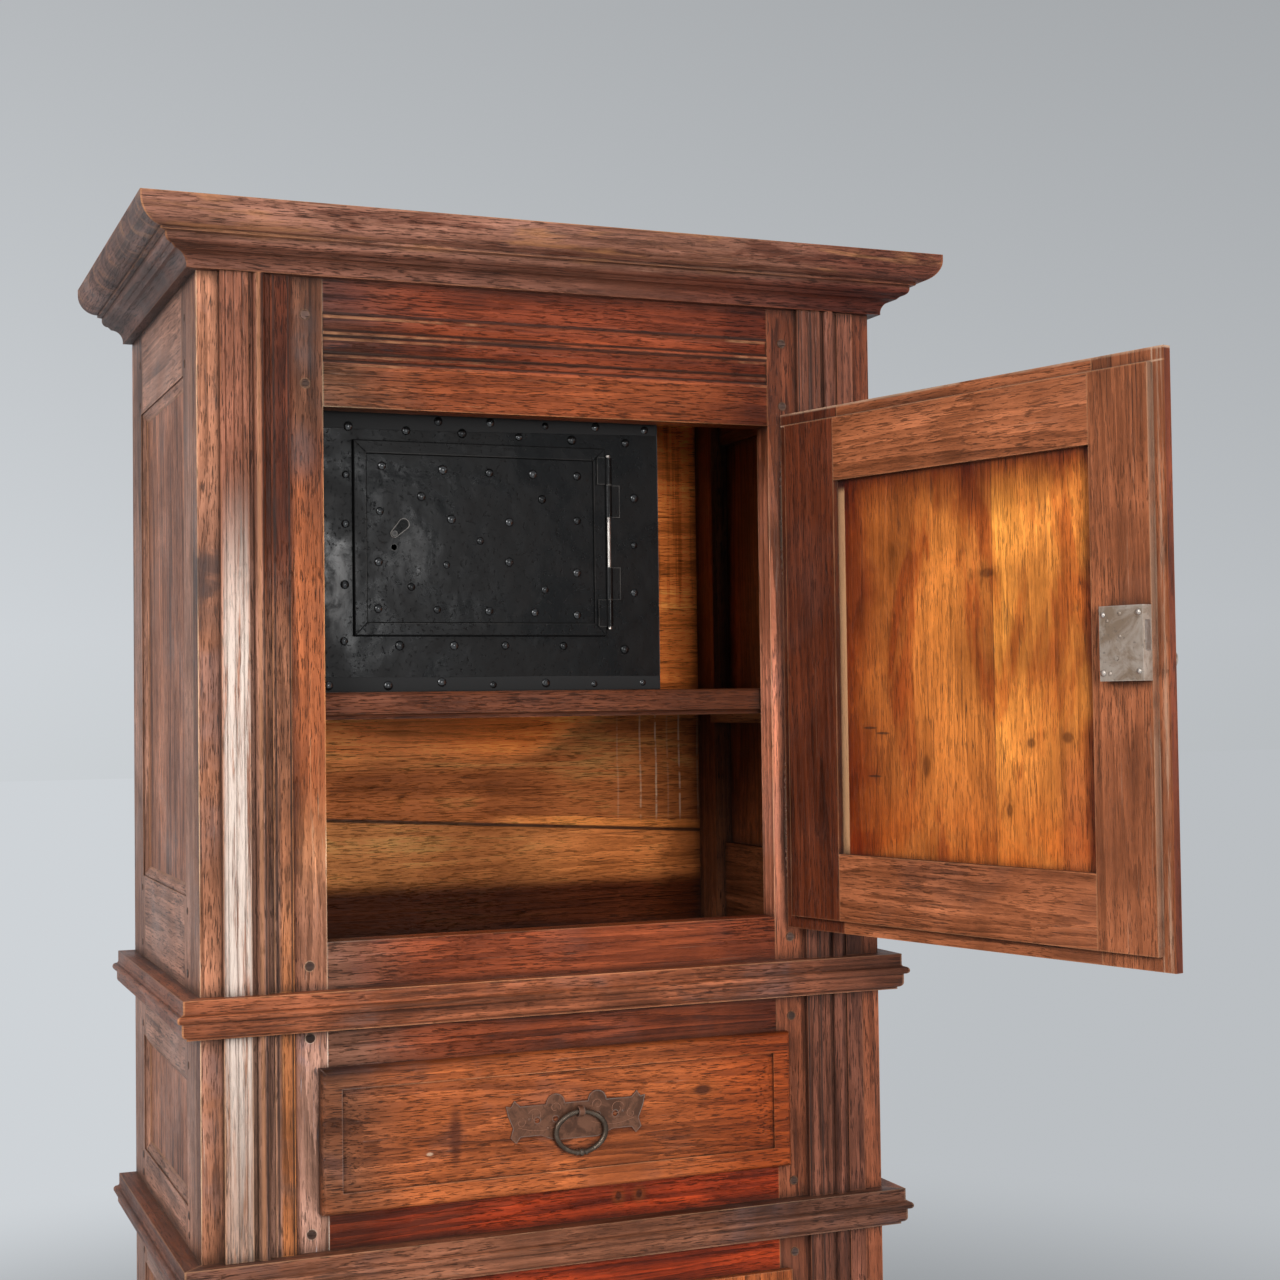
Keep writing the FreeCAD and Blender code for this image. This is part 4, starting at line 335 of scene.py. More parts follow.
class Finish(Tree):
    """A material under way, with the paint, roughness and height of its surface so far."""

    def __init__(self, name):
        self.material = bpy.data.materials.new(name)
        self.material.use_nodes = True
        self.colours = bpy.context.scene.cupboard_oak
        super().__init__(self.material.node_tree)
        self.tree.nodes.clear()
        self.place(self.add("ShaderNodeTexCoord").outputs["Object"])

    def place(self, vector):
        """Takes the coordinates in which places on the piece are given."""
        self.vector = vector
        self.x, self.y, self.z = (self.axis(vector, letter) for letter in "XYZ")

    def step(self, value, low, high, to_low=0.0, to_high=1.0):
        """A soft step: below low it gives to_low, above high to_high."""
        sockets = {"Value": value, 1: low, 2: high, 3: to_low, 4: to_high}
        return self.add("ShaderNodeMapRange", sockets, interpolation_type="SMOOTHSTEP").outputs[0]

    def line(self, value, place, width):
        """1 on a line at place, falling off to 0 at width from it."""
        off = self.maths("ABSOLUTE", self.maths("SUBTRACT", value, place))
        return self.step(off, width, width * 0.35)

    def band(self, value, low, high, soft):
        """1 between low and high, with soft ends."""
        rising = self.step(value, low - soft, low + soft)
        return self.times(rising, self.step(value, high + soft, high - soft))

    def near(self, centre, radii, inner=0.55):
        """1 inside an ellipsoid, falling off to 0 at its surface."""
        sizes = tuple(1 / radius for radius in radii)
        offset = tuple(-place * size for place, size in zip(centre, sizes))
        length = self.vector_maths("LENGTH", {0: self.mapped(self.vector, sizes, offset)}, "Value")
        return self.step(length, inner, 1.0, 1.0, 0.0)

    def ragged(self, value, spread):
        """A coordinate that the patches push to and fro, so that a mark's edge isn't straight."""
        return self.maths("MULTIPLY_ADD", self.patches, spread, value)

    def blend(self, share, under, over, how="MIX"):
        node = self.add("ShaderNodeMix", data_type="RGBA", blend_type=how, clamp_factor=True)
        self.feed(node.inputs[0], share)
        self.feed(node.inputs[6], under)
        self.feed(node.inputs[7], over)
        return node.outputs[2]

    def cover(self, colour, *shares):
        """Lays a colour over the paint, as far as all the shares let it."""
        self.paint = self.blend(self.times(*shares), self.paint, tuple(colour))

    def wash(self, factors, *shares):
        """Multiplies the paint, so that its grain stays."""
        self.paint = self.blend(self.times(*shares), self.paint, factors, "MULTIPLY")

    def sink(self, share, depth):
        self.height = self.maths("MULTIPLY_ADD", share, -depth, self.height)

    def mapped(self, vector, scale=(1, 1, 1), place=(0, 0, 0), turn=0.0, kind="POINT"):
        sockets = {"Vector": vector, "Location": place, "Rotation": (0, 0, turn), "Scale": scale}
        return self.add("ShaderNodeMapping", sockets, vector_type=kind).outputs[0]

    def noise(self, vector, detail=3.0, roughness=0.5, distortion=0.0, scale=1.0):
        words = ("Vector", "Scale", "Detail", "Roughness", "Distortion")
        sockets = dict(zip(words, (vector, scale, detail, roughness, distortion)))
        return self.add("ShaderNodeTexNoise", sockets).outputs[0]

    def clouds(self, scale, place, detail, roughness, distortion=0.0):
        """Noise over the piece, with one scale for each axis."""
        return self.noise(self.mapped(self.vector, scale, place), detail, roughness, distortion)

    def convex(self, reach):
        """1 on arrises, 0 on flats."""
        node = self.add("ShaderNodeAmbientOcclusion", {"Distance": reach}, inside=True, samples=6)
        node.only_local = True
        return self.step(node.outputs["AO"], 0.98, 0.62)

    def corners(self, reach):
        """1 deep in corners and beside neighbours, 0 in the open."""
        node = self.add("ShaderNodeAmbientOcclusion", {"Distance": reach}, samples=6)
        return self.step(node.outputs["AO"], 0.92, 0.40)

    def close(self, depth, strength=0.6, metallic=0.0, coat=0.0, shine=0.5):
        """Joins the paint, the roughness and the height to the shader."""
        bump = self.add("ShaderNodeBump", {"Strength": strength, "Distance": depth, "Height": self.height})
        sockets = {"Base Color": self.paint, "Roughness": self.roughness, "Metallic": metallic}
        sockets |= {"Normal": bump.outputs[0], "Specular IOR Level": shine}
        sockets |= {"Coat Weight": coat, "Coat Roughness": COAT_ROUGHNESS}
        shader = self.add("ShaderNodeBsdfPrincipled", sockets)
        self.add("ShaderNodeOutputMaterial", {"Surface": shader.outputs[0]})
        return self.material


def shade(colour, share, warmth=0.0):
    """A colour made darker or lighter, and redder with warmth."""
    red, green, blue = (min(1.0, part * share) for part in colour)
    return (min(1.0, red * (1 + warmth)), green, blue * (1 - warmth))


def dress(nodes, material):
    """Gives nodes of the frame a material; a space parts their names."""
    for name in nodes.split():
        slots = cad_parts[name].material_slots
        if not slots:
            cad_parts[name].data.materials.append(material)
        for slot in slots:
            slot.material = material


# Oak


def grain_vectors(m, grain, seed):
    """Coordinates stretched along the grain, for bands, streaks and pores."""
    sizes = bpy.context.scene.cupboard_oak_sizes
    spreads = (
        (sizes.band_width, sizes.streak_length * 3),
        (sizes.streak_width, sizes.streak_length),
        (sizes.pore_width, sizes.pore_length),
    )
    for number, (across, along) in enumerate(spreads):
        scale = [1 / across] * 3
        scale[AXES[grain]] = 1 / along
        offset = (seed * 3.7 + number, seed * 1.9, seed * 5.3)
        yield m.mapped(m.vector, tuple(scale), offset)


def oak(nodes, name, colour, grain, seed, worn, grey, rings=0.35, turned=False, marks=None, bold=1.0):
    """Old oak on the nodes: growth rings, streaks, pores, grey bloom, worn arrises, and corners darkened
    with dirt and painted shade.

    turned follows the upper door, whose marks are placed from its hinge axis. bold is the strength
    of the figure.
    """
    sizes = bpy.context.scene.cupboard_oak_sizes
    colour = tuple(colour)
    m = Finish(name)
    if turned:
        m.place(m.mapped(m.vector, place=tuple(DOOR_AXIS), turn=DOOR_TURN, kind="TEXTURE"))
    bands, streaks, pores = grain_vectors(m, grain, seed)
    broad = m.noise(bands, 4, 0.55, 0.8)
    streak = m.noise(streaks, 8, 0.68, 0.35)
    fine = m.noise(pores, 3, 0.62)
    clouds = m.clouds((4.5,) * 3, (seed * 2, 5, seed), 5, 0.6, 0.6)
    log = m.noise(m.mapped(bands, (0.75,) * 3, (seed, 4, 1)), 1.5, 0.5, 0.25)
    year = m.maths("FRACT", m.maths("MULTIPLY_ADD", log, 15.0, m.times(streak, 1.1)))
    year = m.maths("SUBTRACT", 0.45, year)
    tone = m.times(broad, 0.32 * bold)
    for part, share in ((streak, 0.34 * bold), (fine, 0.16), (clouds, 0.30), (year, rings * 0.20 * bold)):
        tone = m.maths("MULTIPLY_ADD", part, share, tone)
    tone = m.maths("ADD", tone, 0.33 * (1 - bold) - 0.06)
    m.paint = m.ramp(tone, [(place, shade(colour, *how)) for place, how in FIGURE])
    m.patches = m.clouds((6, 6, 6), (seed, 2, seed), 6, 0.62, 0.4)
    m.cover(m.colours.patina, m.step(m.patches, 0.50, 0.66), grey)
    open_pores = m.times(m.step(fine, 0.535, 0.62), m.step(clouds, 0.36, 0.52, 0.35, 1.0))
    m.cover(shade(colour, 0.10, 0.10), open_pores, 0.34 + 0.50 * bold)
    check = m.noise(m.mapped(streaks, (0.8,) * 3, (seed, 8, 2)), 2, 0.5, 0.3)
    check = m.step(m.maths("ABSOLUTE", m.maths("SUBTRACT", check, 0.5)), 0.010, 0.003)
    check = m.times(check, m.step(m.patches, 0.42, 0.58, 0.1, 0.9))
    m.cover(m.colours.dirt, check, 0.75)
    scuffs = m.noise(m.mapped(streaks, (1.4,) * 3, (9, seed, 4)), 7, 0.72, 0.2)
    fleck = m.times(m.step(scuffs, 0.60, 0.74), worn)
    arris = (m.convex(sizes.edge_wear), m.step(m.patches, 0.30, 0.62, 0.25, 1.0))
    m.cover(m.colours.arris, *arris, min(1.0, worn * 1.9))
    m.cover(m.colours.worn, fleck)
    m.height = m.times(streak, 0.8)
    m.sink(open_pores, 0.9)
    m.sink(check, 1.2)
    if marks:
        marks(m)
    # painted shade: corners and places beside neighbouring parts darken, mixed with dirt
    m.cover(m.colours.dirt, m.corners(sizes.corner_dirt_and_shade), 0.75)
    m.roughness = m.most(m.step(m.patches, 0.25, 0.75, 0.34, 0.56), m.times(fleck, 0.62))
    dress(nodes, m.close(0.0011, 0.7, shine=OAK_SHINE))


# Marks on the oak. m is the finish. A place is in metres, in the scene's frame, or from the hinge
# axis on the upper door. A wash gives the factors of red, green and blue.


def knot(m, place, radii, strength=0.85):
    """A dark knot with a paler ring round it."""
    halo = m.near(place, tuple(radius * 2.4 for radius in radii), 0.2)
    m.cover(shade(m.colours.door_panel, 0.40), halo, 0.45 * strength)
    heart = m.near(place, radii, 0.45)
    m.cover(shade(m.colours.hinge_stile, 0.35), heart, strength)
    m.sink(heart, 0.8)


def panel_marks(m):
    """Knots, stains, the glued joint and the pale strip, on the inner face of the upper door's panel."""
    inner = m.step(m.y, 0.003, 0.005)
    m.wash((0.60, 0.52, 0.70), m.step(inner, 1.0, 0.0))
    plain = m.paint
    ragged = m.ragged(m.x, 0.14)
    m.wash((1.30, 1.45, 1.35), m.band(ragged, -0.345, -0.205, 0.05), m.step(m.z, 1.28, 1.42, 0.35, 1.0))
    m.wash((1.55, 1.90, 1.70), m.step(m.x, -0.3990, -0.4000), m.step(m.z, 1.22, 1.55, 0.35, 1.0))
    m.wash((0.72, 0.62, 0.80), m.step(m.z, 1.40, 1.32), m.step(m.x, -0.49, -0.52))
    m.wash((0.98, 0.74, 0.54), m.step(m.z, 1.33, 1.22), m.step(m.patches, 0.40, 0.58))
    m.wash((0.68, 0.48, 0.45), m.step(m.clouds((14, 14, 4), (8, 2, 3), 5, 0.6, 0.5), 0.50, 0.64))
    m.wash((0.50, 0.32, 0.30), m.step(ragged, -0.145, -0.075))
    for place, radii in PANEL_KNOTS:
        knot(m, place, radii, 0.6)
    for place in PANEL_DASHES:
        m.cover(m.colours.dirt, m.near(place, (0.017, 0.05, 0.0022), 0.5), 0.7)
    m.cover(m.colours.dirt, m.line(m.x, -0.3995, 0.0014), 0.45)
    m.wash((0.30, 0.17, 0.20), m.step(m.ragged(m.z, 0.10), 1.700, 1.775))
    m.wash((0.28, 0.15, 0.16), m.step(m.ragged(m.x, -0.05), -0.560, -0.588))
    m.cover((0.62, 0.34, 0.17), m.step(m.x, -0.1345, -0.1325), m.step(m.z, 1.712, 1.700), 0.80)
    m.paint = m.blend(inner, plain, m.paint)


def pilaster_marks(m):
    """The left pilaster is rubbed pale down its middle and dark inside, the right one is darker; painted
    shade runs down the grooves, and the bead's arris carries a pale line, partly rubbed and partly a painted
    highlight.
    """
    m.wash((0.66, 0.50, 0.46), m.step(m.x, -0.1, 0.1))
    left = m.step(m.x, 0.0, -0.1)
    m.wash((0.72, 0.58, 0.52), left, m.step(m.z, 1.45, 1.75))
    inner = m.times(m.step(m.x, -0.402, -0.396), left)
    m.wash((0.50, 0.33, 0.24), inner)
    m.wash((1.90, 2.70, 3.30), inner, m.step(m.z, 1.62, 1.50))
    m.wash((1.25, 1.45, 1.75), inner, m.step(m.z, 1.28, 1.18))
    amber = (m.step(m.x, -0.382, -0.376), m.step(m.z, 1.45, 0.90, 0.1, 1.0), m.step(m.patches, 0.35, 0.55))
    m.wash((1.7, 1.2, 0.6), inner, *amber)
    # painted shade: a dark line down each groove of both pilasters
    for groove in PILASTER_GROOVES:
        for place in (-groove, groove):
            m.cover(m.colours.dirt, m.line(m.x, place, 0.0020), 0.75)
    # a pale line on the bead's arris, partly rubbed wear and partly a painted highlight
    m.cover(m.colours.arris, m.line(m.x, -0.4040, 0.0035), 0.45)
    m.wash((1.30, 1.50, 1.55), left, m.step(m.z, 1.03, 0.97), m.step(m.x, -0.405, -0.410))
    thready = m.step(m.clouds((140, 140, 5.5), (3, 7, 1), 6, 0.72, 0.3), 0.34, 0.52)
    zone = (m.step(m.z, 1.74, 1.46), m.step(m.z, 0.72, 1.06, 0.25, 1.0), m.band(m.x, -0.449, -0.417, 0.004))
    m.cover((0.70, 0.58, 0.50), thready, left, *zone, 0.92)
    rough = m.times(m.near((-0.462, -0.29, 1.64), (0.014, 0.05, 0.10), 0.3), m.step(m.patches, 0.42, 0.56))
    m.cover(shade(m.colours.patina, 0.55), rough, 0.65)
    m.sink(rough, 1.2)


def left_stile_marks(m):
    """Grey patches high up, an orange stretch down the inner part, a pink-brown outer fillet."""
    inner = m.step(m.x, -0.365, -0.350)
    outer = m.step(m.x, -0.440, -0.455)
    m.wash((1.9, 1.9, 1.5), inner, m.band(m.z, 1.22, 1.70, 0.08))
    m.wash((2.3, 3.4, 4.4), outer)
    m.wash((0.95, 1.3, 1.6), inner, m.step(m.z, 1.74, 1.80))
    split = m.near((-0.46, -0.28, 1.62), (0.06, 0.05, 0.13), 0.4)
    m.cover(shade(m.colours.patina, 0.40), outer, split, m.step(m.patches, 0.40, 0.52, 0.2, 0.85))
    m.wash((2.3, 3.5, 4.8), inner, m.step(m.z, 1.34, 1.18))
    m.wash((1.5, 1.9, 2.4), inner, m.step(m.z, 1.02, 0.97))
    for place, radii in STILE_PATCHES:
        spot = m.times(m.near(place, radii, 0.2), m.step(m.patches, 0.42, 0.56))
        m.cover(shade(m.colours.patina, 0.75), spot, 0.6)


def right_stile_marks(m):
    """Orange beside the opening, dark under the cornice."""
    m.wash((2.3, 2.7, 3.3), m.step(m.x, 0.336, 0.330), m.band(m.z, 1.12, 1.74, 0.05))
    m.wash((0.62, 0.55, 0.52), m.step(m.z, 1.76, 1.84))


def frieze_marks(m):
    """Greyer at the left end, darker above the reeds, with painted shade beside every reed and a pale line
    along each, partly rubbed and partly a painted highlight.
    """
    ragged = m.ragged(m.x, 0.25)
    m.wash((0.66, 1.15, 1.9), m.step(ragged, -0.02, -0.20))
    m.wash((0.44, 0.34, 0.28), m.step(ragged, 0.26, 0.42))
    m.wash((0.74, 0.70, 0.70), m.step(m.z, 1.925, 1.935))
    m.wash((1.12, 1.28, 1.06), m.step(m.z, 1.868, 1.860))
    rubbed_and_highlight = m.step(m.patches, 0.44, 0.62, 0.05, 0.7)
    # painted shade: a dark line beside each reed; above it a pale line, partly rubbed wear and partly a
    # painted highlight
    for level in FRIEZE_REEDS:
        m.cover(m.colours.dirt, m.line(m.z, level, 0.0030), 0.80)
        m.cover(m.colours.arris, m.line(m.z, level - 0.0042, 0.0024), rubbed_and_highlight)


def waist_marks(m):
    """A grey left end, and an orange middle."""
    ragged = m.ragged(m.x, 0.22)
    m.wash((0.70, 1.35, 2.4), m.step(ragged, -0.06, -0.20))
    m.wash((0.50, 0.45, 0.45), m.step(ragged, 0.30, 0.42))


def drawer_rail_marks(m):
    """Two small dark knots side by side under the drawer, in redder oak."""
    m.wash((1.52, 0.80, 0.48), m.step(m.z, 0.80, 0.78))
    m.wash((0.6, 0.9, 1.3), m.step(m.ragged(m.x, 0.22), -0.06, -0.20))
    for across in (0.078, 0.108):
        knot(m, (across, -0.28, 0.757), (0.006, 0.05, 0.008))


def drawer_marks(m):
    """A dark left end, a rubbed patch by it, a knot at the right."""
    end = m.step(m.ragged(m.x, 0.12), -0.130, -0.250, 0.0, 0.70)
    m.wash((0.42, 0.62, 1.10), end, m.step(m.patches, 0.30, 0.55, 0.45, 1.0), 1.4)
    m.wash((0.68, 0.47, 0.28), m.step(m.x, 0.10, 0.30))
    knot(m, (0.196, -0.29, 0.893), (0.017, 0.05, 0.009))
    patch = m.times(m.near((-0.155, -0.29, 0.862), (0.012, 0.05, 0.052), 0.3), 0.75)
    m.cover(shade(m.colours.hinge_stile, 0.5), patch)
    m.cover(m.colours.worn, m.near((-0.190, -0.29, 0.842), (0.006, 0.05, 0.003), 0.4))
    m.sink(patch, 0.9)


def plank_marks(m):
    """Inside: a sloping joint, golden oak below it, brown above with pale scratches, stains by the box, and
    a painted shadow along the foot.
    """
    plain = m.paint
    sloped = m.maths("MULTIPLY_ADD", m.maths("SUBTRACT", m.x, 0.43), PLANK_SLOPE, m.z)
    above = m.step(sloped, 1.2095, 1.2125)
    below = m.step(above, 1.0, 0.0)
    m.wash((0.70, 0.74, 0.74), below)
    m.wash((0.80, 0.72, 0.68), below, m.band(m.x, -0.06, 0.12, 0.05))
    ridge = m.times(m.step(m.ragged(sloped, 0.012), 1.236, 1.228), m.step(m.x, -0.02, 0.22))
    rise = m.maths("MULTIPLY_ADD", m.step(m.x, 0.10, 0.30), -0.07, m.ragged(m.z, 0.04))
    brown = (m.step(rise, 1.372, 1.335), m.step(ridge, 0.6, 0.2), m.step(m.x, 0.16, 0.36, 0.95, 0.85))
    m.wash((0.55, 0.45, 0.42), above, *brown)
    m.wash((1.05, 0.95, 0.75), above, ridge)
    high = m.step(rise, 1.345, 1.385)
    m.wash((1.48, 1.34, 1.30), high)
    m.wash((1.28, 1.10, 0.82), high, m.step(m.x, -0.10, 0.10))
    m.wash((1.40, 1.20, 1.08), below, m.step(m.x, 0.05, 0.30))
    # painted shadow: the planks darken strongly at their foot
    m.wash((0.12, 0.08, 0.08), m.step(m.z, 1.158, 1.122))
    m.cover(m.colours.dirt, m.line(sloped, 1.2100, 0.0042), 0.88)
    runs = m.step(m.clouds((75, 1, 2.2), (2, 0, 5), 5, 0.62), 0.46, 0.62)
    m.wash((0.42, 0.32, 0.28), runs, m.step(m.z, 1.56, 1.62, 0.15, 0.75), m.step(m.z, 1.42, 1.46))
    broken = m.step(m.clouds((40, 1, 60), (7, 0, 1), 3, 0.6), 0.34, 0.50)
    broken = m.times(broken, m.band(m.z, 1.235, 1.405, 0.012))
    wobble = m.maths("MULTIPLY_ADD", m.noise(m.vector, 2, scale=9.0), 0.006, m.x)
    for place, strength in PLANK_SCRATCHES:
        m.cover((0.62, 0.38, 0.24), m.line(wobble, place + 0.003, 0.0022), broken, strength)
    inside = m.paint
    m.paint = plain
    m.wash((0.34, 0.42, 0.62), 1.0)
    for joint in PLANK_JOINTS:
        m.cover(m.colours.dirt, m.line(m.z, joint, 0.0022), 0.9)
    m.paint = m.blend(m.step(m.y, 0.250, 0.252), inside, m.paint)


def side_marks(m):
    """The faces inside the cupboard kept their dark warm brown."""
    m.wash((0.34, 0.24, 0.15), m.step(m.maths("ABSOLUTE", m.x), 0.470, 0.464))


def shelf_marks(m):
    """Darker towards the right."""
    m.wash((0.72, 0.70, 0.68), m.step(m.x, -0.05, 0.25))


def belt_marks(m):
    """The waist moulding is paler than the one under the drawer, and darker to the right."""
    m.wash((0.72, 0.78, 0.92), m.step(m.x, 0.15, 0.40))
    m.wash((1.36, 1.32, 1.25), m.step(m.z, 0.95, 1.05))
    m.wash((0.80, 0.92, 1.02), m.step(m.z, 0.95, 0.90))


def cornice_marks(m):
    """Dark under the crown, with orange patches rubbed along it."""
    m.wash((0.55, 0.48, 0.45), m.step(m.z, 2.012, 2.000))
    m.wash((0.60, 0.42, 0.38), m.step(m.x, 0.25, 0.45))
    m.wash((0.72, 0.52, 0.48), m.step(m.x, 0.0, 0.30), m.step(m.z, 2.012, 2.004))
    long_patches = m.clouds((5, 30, 30), (3, 1, 2), 5, 0.65, 0.5)
    crown = m.step(m.z, 2.006, 2.014)
    m.cover((0.46, 0.20, 0.085), m.step(long_patches, 0.52, 0.66), crown, 0.55)
    m.wash((0.50, 0.40, 0.36), m.step(long_patches, 0.47, 0.37), crown)


def door_end_marks(m):
    """The lip's outer end is chipped pale, and the rebate's line shows pale on the inner face. The top edge
    is pale as well, partly worn and partly a painted highlight.
    """
    inner = m.step(m.y, 0.006, 0.008)
    m.wash((0.85, 0.78, 0.80), m.step(inner, 1.0, 0.0))
    for value, place in ((m.x, -0.6520), (m.z, 1.8062)):
        m.cover(m.colours.worn, m.line(value, place, 0.0016), m.step(m.patches, 0.34, 0.52, 0.2, 0.7), inner)
    m.wash((0.62, 0.42, 0.28), m.step(m.x, -0.6660, -0.6680))
    streaky = m.step(m.clouds((260, 260, 9), (5, 2, 8), 4, 0.65, 0.3), 0.42, 0.58)
    m.cover(m.colours.worn, m.band(m.x, -0.6650, -0.6590, 0.003), streaky, 0.55)
    # the upper door's top edge turns pale: partly worn, partly a painted highlight
    m.cover(m.colours.worn, m.step(m.z, 1.8185, 1.8215), m.step(m.patches, 0.40, 0.55), 0.7)


class CUPBOARD_OT_front_frame(bpy.types.Operator):
    """Finish the front stiles, rails and their pegs"""

    bl_idname = "cupboard.front_frame"
    bl_label = "Front frame"

    def execute(self, context):
        c = context.scene.cupboard_oak
        oak("front_stile_left", "left_stile_oak", c.left_stile, "Z", 1, 0.30, 0.12, marks=left_stile_marks)
        nodes = "front_stile_right"
        oak(nodes, "right_stile_oak", c.right_stile, "Z", 2, 0.22, 0.10, marks=right_stile_marks)
        oak("frieze_rail", "frieze_oak", c.frieze, "X", 3, 0.24, 0.10, 0.3, marks=frieze_marks)
        oak("waist_rail", "waist_rail_oak", c.waist, "X", 4, 0.20, 0.12, marks=waist_marks)
        oak("drawer_rail", "drawer_rail_oak", c.waist, "X", 5, 0.20, 0.12, marks=drawer_rail_marks)
        oak("base_rail", "base_rail_oak", c.waist, "X", 6, 0.30, 0.40)
        oak("frame_pegs", "peg_oak", shade(c.patina, 0.45, 0.15), "X", 7, 0.12, 0.4, 0.1)
        return {"FINISHED"}


class CUPBOARD_OT_mouldings(bpy.types.Operator):
    """Finish the cornice, belts, pilasters and top board"""

    bl_idname = "cupboard.mouldings"
    bl_label = "Mouldings"

    def execute(self, context):
        c = context.scene.cupboard_oak
        oak("cornice_front", "cornice_oak", c.cornice, "X", 8, 0.45, 0.18, 0.25, marks=cornice_marks)
        nodes = "cornice_left cornice_right"
        oak(nodes, "cornice_return_oak", c.cornice, "Y", 9, 0.42, 0.60, 0.2, marks=cornice_marks)
        nodes = "waist_moulding_front drawer_moulding_front base_moulding"
        oak(nodes, "belt_oak", c.belt, "X", 10, 0.42, 0.32, 0.25, marks=belt_marks)
        nodes = "waist_moulding_left waist_moulding_right drawer_moulding_left drawer_moulding_right"
        oak(nodes, "belt_return_oak", c.belt, "Y", 11, 0.45, 0.50, 0.2)
        nodes = "pilaster_mouldings"
        oak(nodes, "pilaster_oak", c.pilaster, "Z", 12, 0.35, 0.15, 0.3, marks=pilaster_marks)
        oak("top_board", "top_board_oak", c.side_frame, "X", 13, 0.2, 0.5)
        return {"FINISHED"}


class CUPBOARD_OT_side_frames(bpy.types.Operator):
    """Finish both panelled sides"""

    bl_idname = "cupboard.side_frames"
    bl_label = "Side frames"

    def execute(self, context):
        c = context.scene.cupboard_oak
        nodes = "side_stile_left side_stile_right back_post_left back_post_right"
        oak(nodes, "side_stile_oak", c.side_frame, "Z", 14, 0.35, 0.30, 0.3, marks=side_marks)
        nodes = "side_rails_left side_rails_right"
        oak(nodes, "side_rail_oak", c.side_frame, "Y", 15, 0.35, 0.30, 0.3, marks=side_marks)
        nodes = "side_panels_left side_panels_right"
        oak(nodes, "side_panel_oak", c.side_panel, "Z", 16, 0.30, 0.30, 0.5, marks=side_marks)
        return {"FINISHED"}


class CUPBOARD_OT_inside_boards(bpy.types.Operator):
    """Finish the back planks, shelf, floors, cleats and runners"""

    bl_idname = "cupboard.inside_boards"
    bl_label = "Inside boards"

    def execute(self, context):
        c = context.scene.cupboard_oak
        oak("back_planks", "back_plank_oak", c.back, "X", 17, 0.10, 0.0, marks=plank_marks, bold=0.65)
        oak("shelf", "shelf_oak", c.shelf, "X", 18, 0.10, 0.10, 0.2, marks=shelf_marks)
        oak("compartment_floor bottom_floor", "floor_oak", c.inside, "X", 19, 0.22, 0.2)
        oak("cleats drawer_runners", "cleat_oak", c.inside, "Y", 20, 0.15, 0.15, 0.3)
        return {"FINISHED"}


class CUPBOARD_OT_upper_door(bpy.types.Operator):
    """Finish the upper door's oak"""

    bl_idname = "cupboard.upper_door"
    bl_label = "Upper door"

    def execute(self, context):
        c = context.scene.cupboard_oak
        end = {"turned": True, "marks": door_end_marks}
        nodes = "upper_door_hinge_stile"
        oak(nodes, "hinge_stile_oak", c.hinge_stile, "Z", 21, 0.30, 0.10, bold=0.8, **end)
        nodes = "upper_door_lock_stile"
        oak(nodes, "lock_stile_oak", shade(c.door_frame, 0.78), "Z", 22, 0.34, 0.10, bold=0.7, **end)
        nodes = "upper_door_top_rail upper_door_bottom_rail"
        oak(nodes, "door_rail_oak", c.door_frame, "X", 23, 0.28, 0.10, 0.45, bold=0.8, **end)
        look = {"turned": True, "marks": panel_marks, "bold": 0.5}
        oak("upper_door_panel", "door_panel_oak", c.door_panel, "Z", 24, 0.10, 0.0, 0.4, **look)
        return {"FINISHED"}


class CUPBOARD_OT_lower_door(bpy.types.Operator):
    """Finish the lower door's oak"""

    bl_idname = "cupboard.lower_door"
    bl_label = "Lower door"

    def execute(self, context):
        c = context.scene.cupboard_oak
        nodes = "lower_door_hinge_stile lower_door_lock_stile"
        oak(nodes, "lower_stile_oak", c.drawer, "Z", 25, 0.35, 0.28)
        oak("lower_door_rails", "lower_rail_oak", c.drawer, "X", 26, 0.35, 0.28)
        oak("lower_door_panel", "lower_panel_oak", c.drawer, "Z", 27, 0.22, 0.22, 0.5)
        return {"FINISHED"}


class CUPBOARD_OT_drawer(bpy.types.Operator):
    """Finish the drawer's oak"""

    bl_idname = "cupboard.drawer"
    bl_label = "Drawer"

    def execute(self, context):
        c = context.scene.cupboard_oak
        oak("drawer_front", "drawer_front_oak", c.drawer, "X", 28, 0.38, 0.22, 0.4, marks=drawer_marks)
        oak("drawer_sides", "drawer_side_oak", c.inside, "Y", 29, 0.2, 0.1)
        oak("drawer_back drawer_bottom", "drawer_back_oak", c.inside, "X", 30, 0.2, 0.1)
        return {"FINISHED"}


# Iron


def leaf_span():
    """The leaf's own left, right, bottom and top, without its knuckles."""
    return LEAF[0].x, LEAF_RIGHT, LEAF[0].z, LEAF[1].z


def inside_leaf(m, inset):
    """1 inside the leaf's outline drawn in by the inset."""
    left, right, bottom, top = leaf_span()
    across = m.band(m.x, left + inset, right - inset, 0.001)
    return m.times(across, m.band(m.z, bottom + inset, top - inset, 0.001))


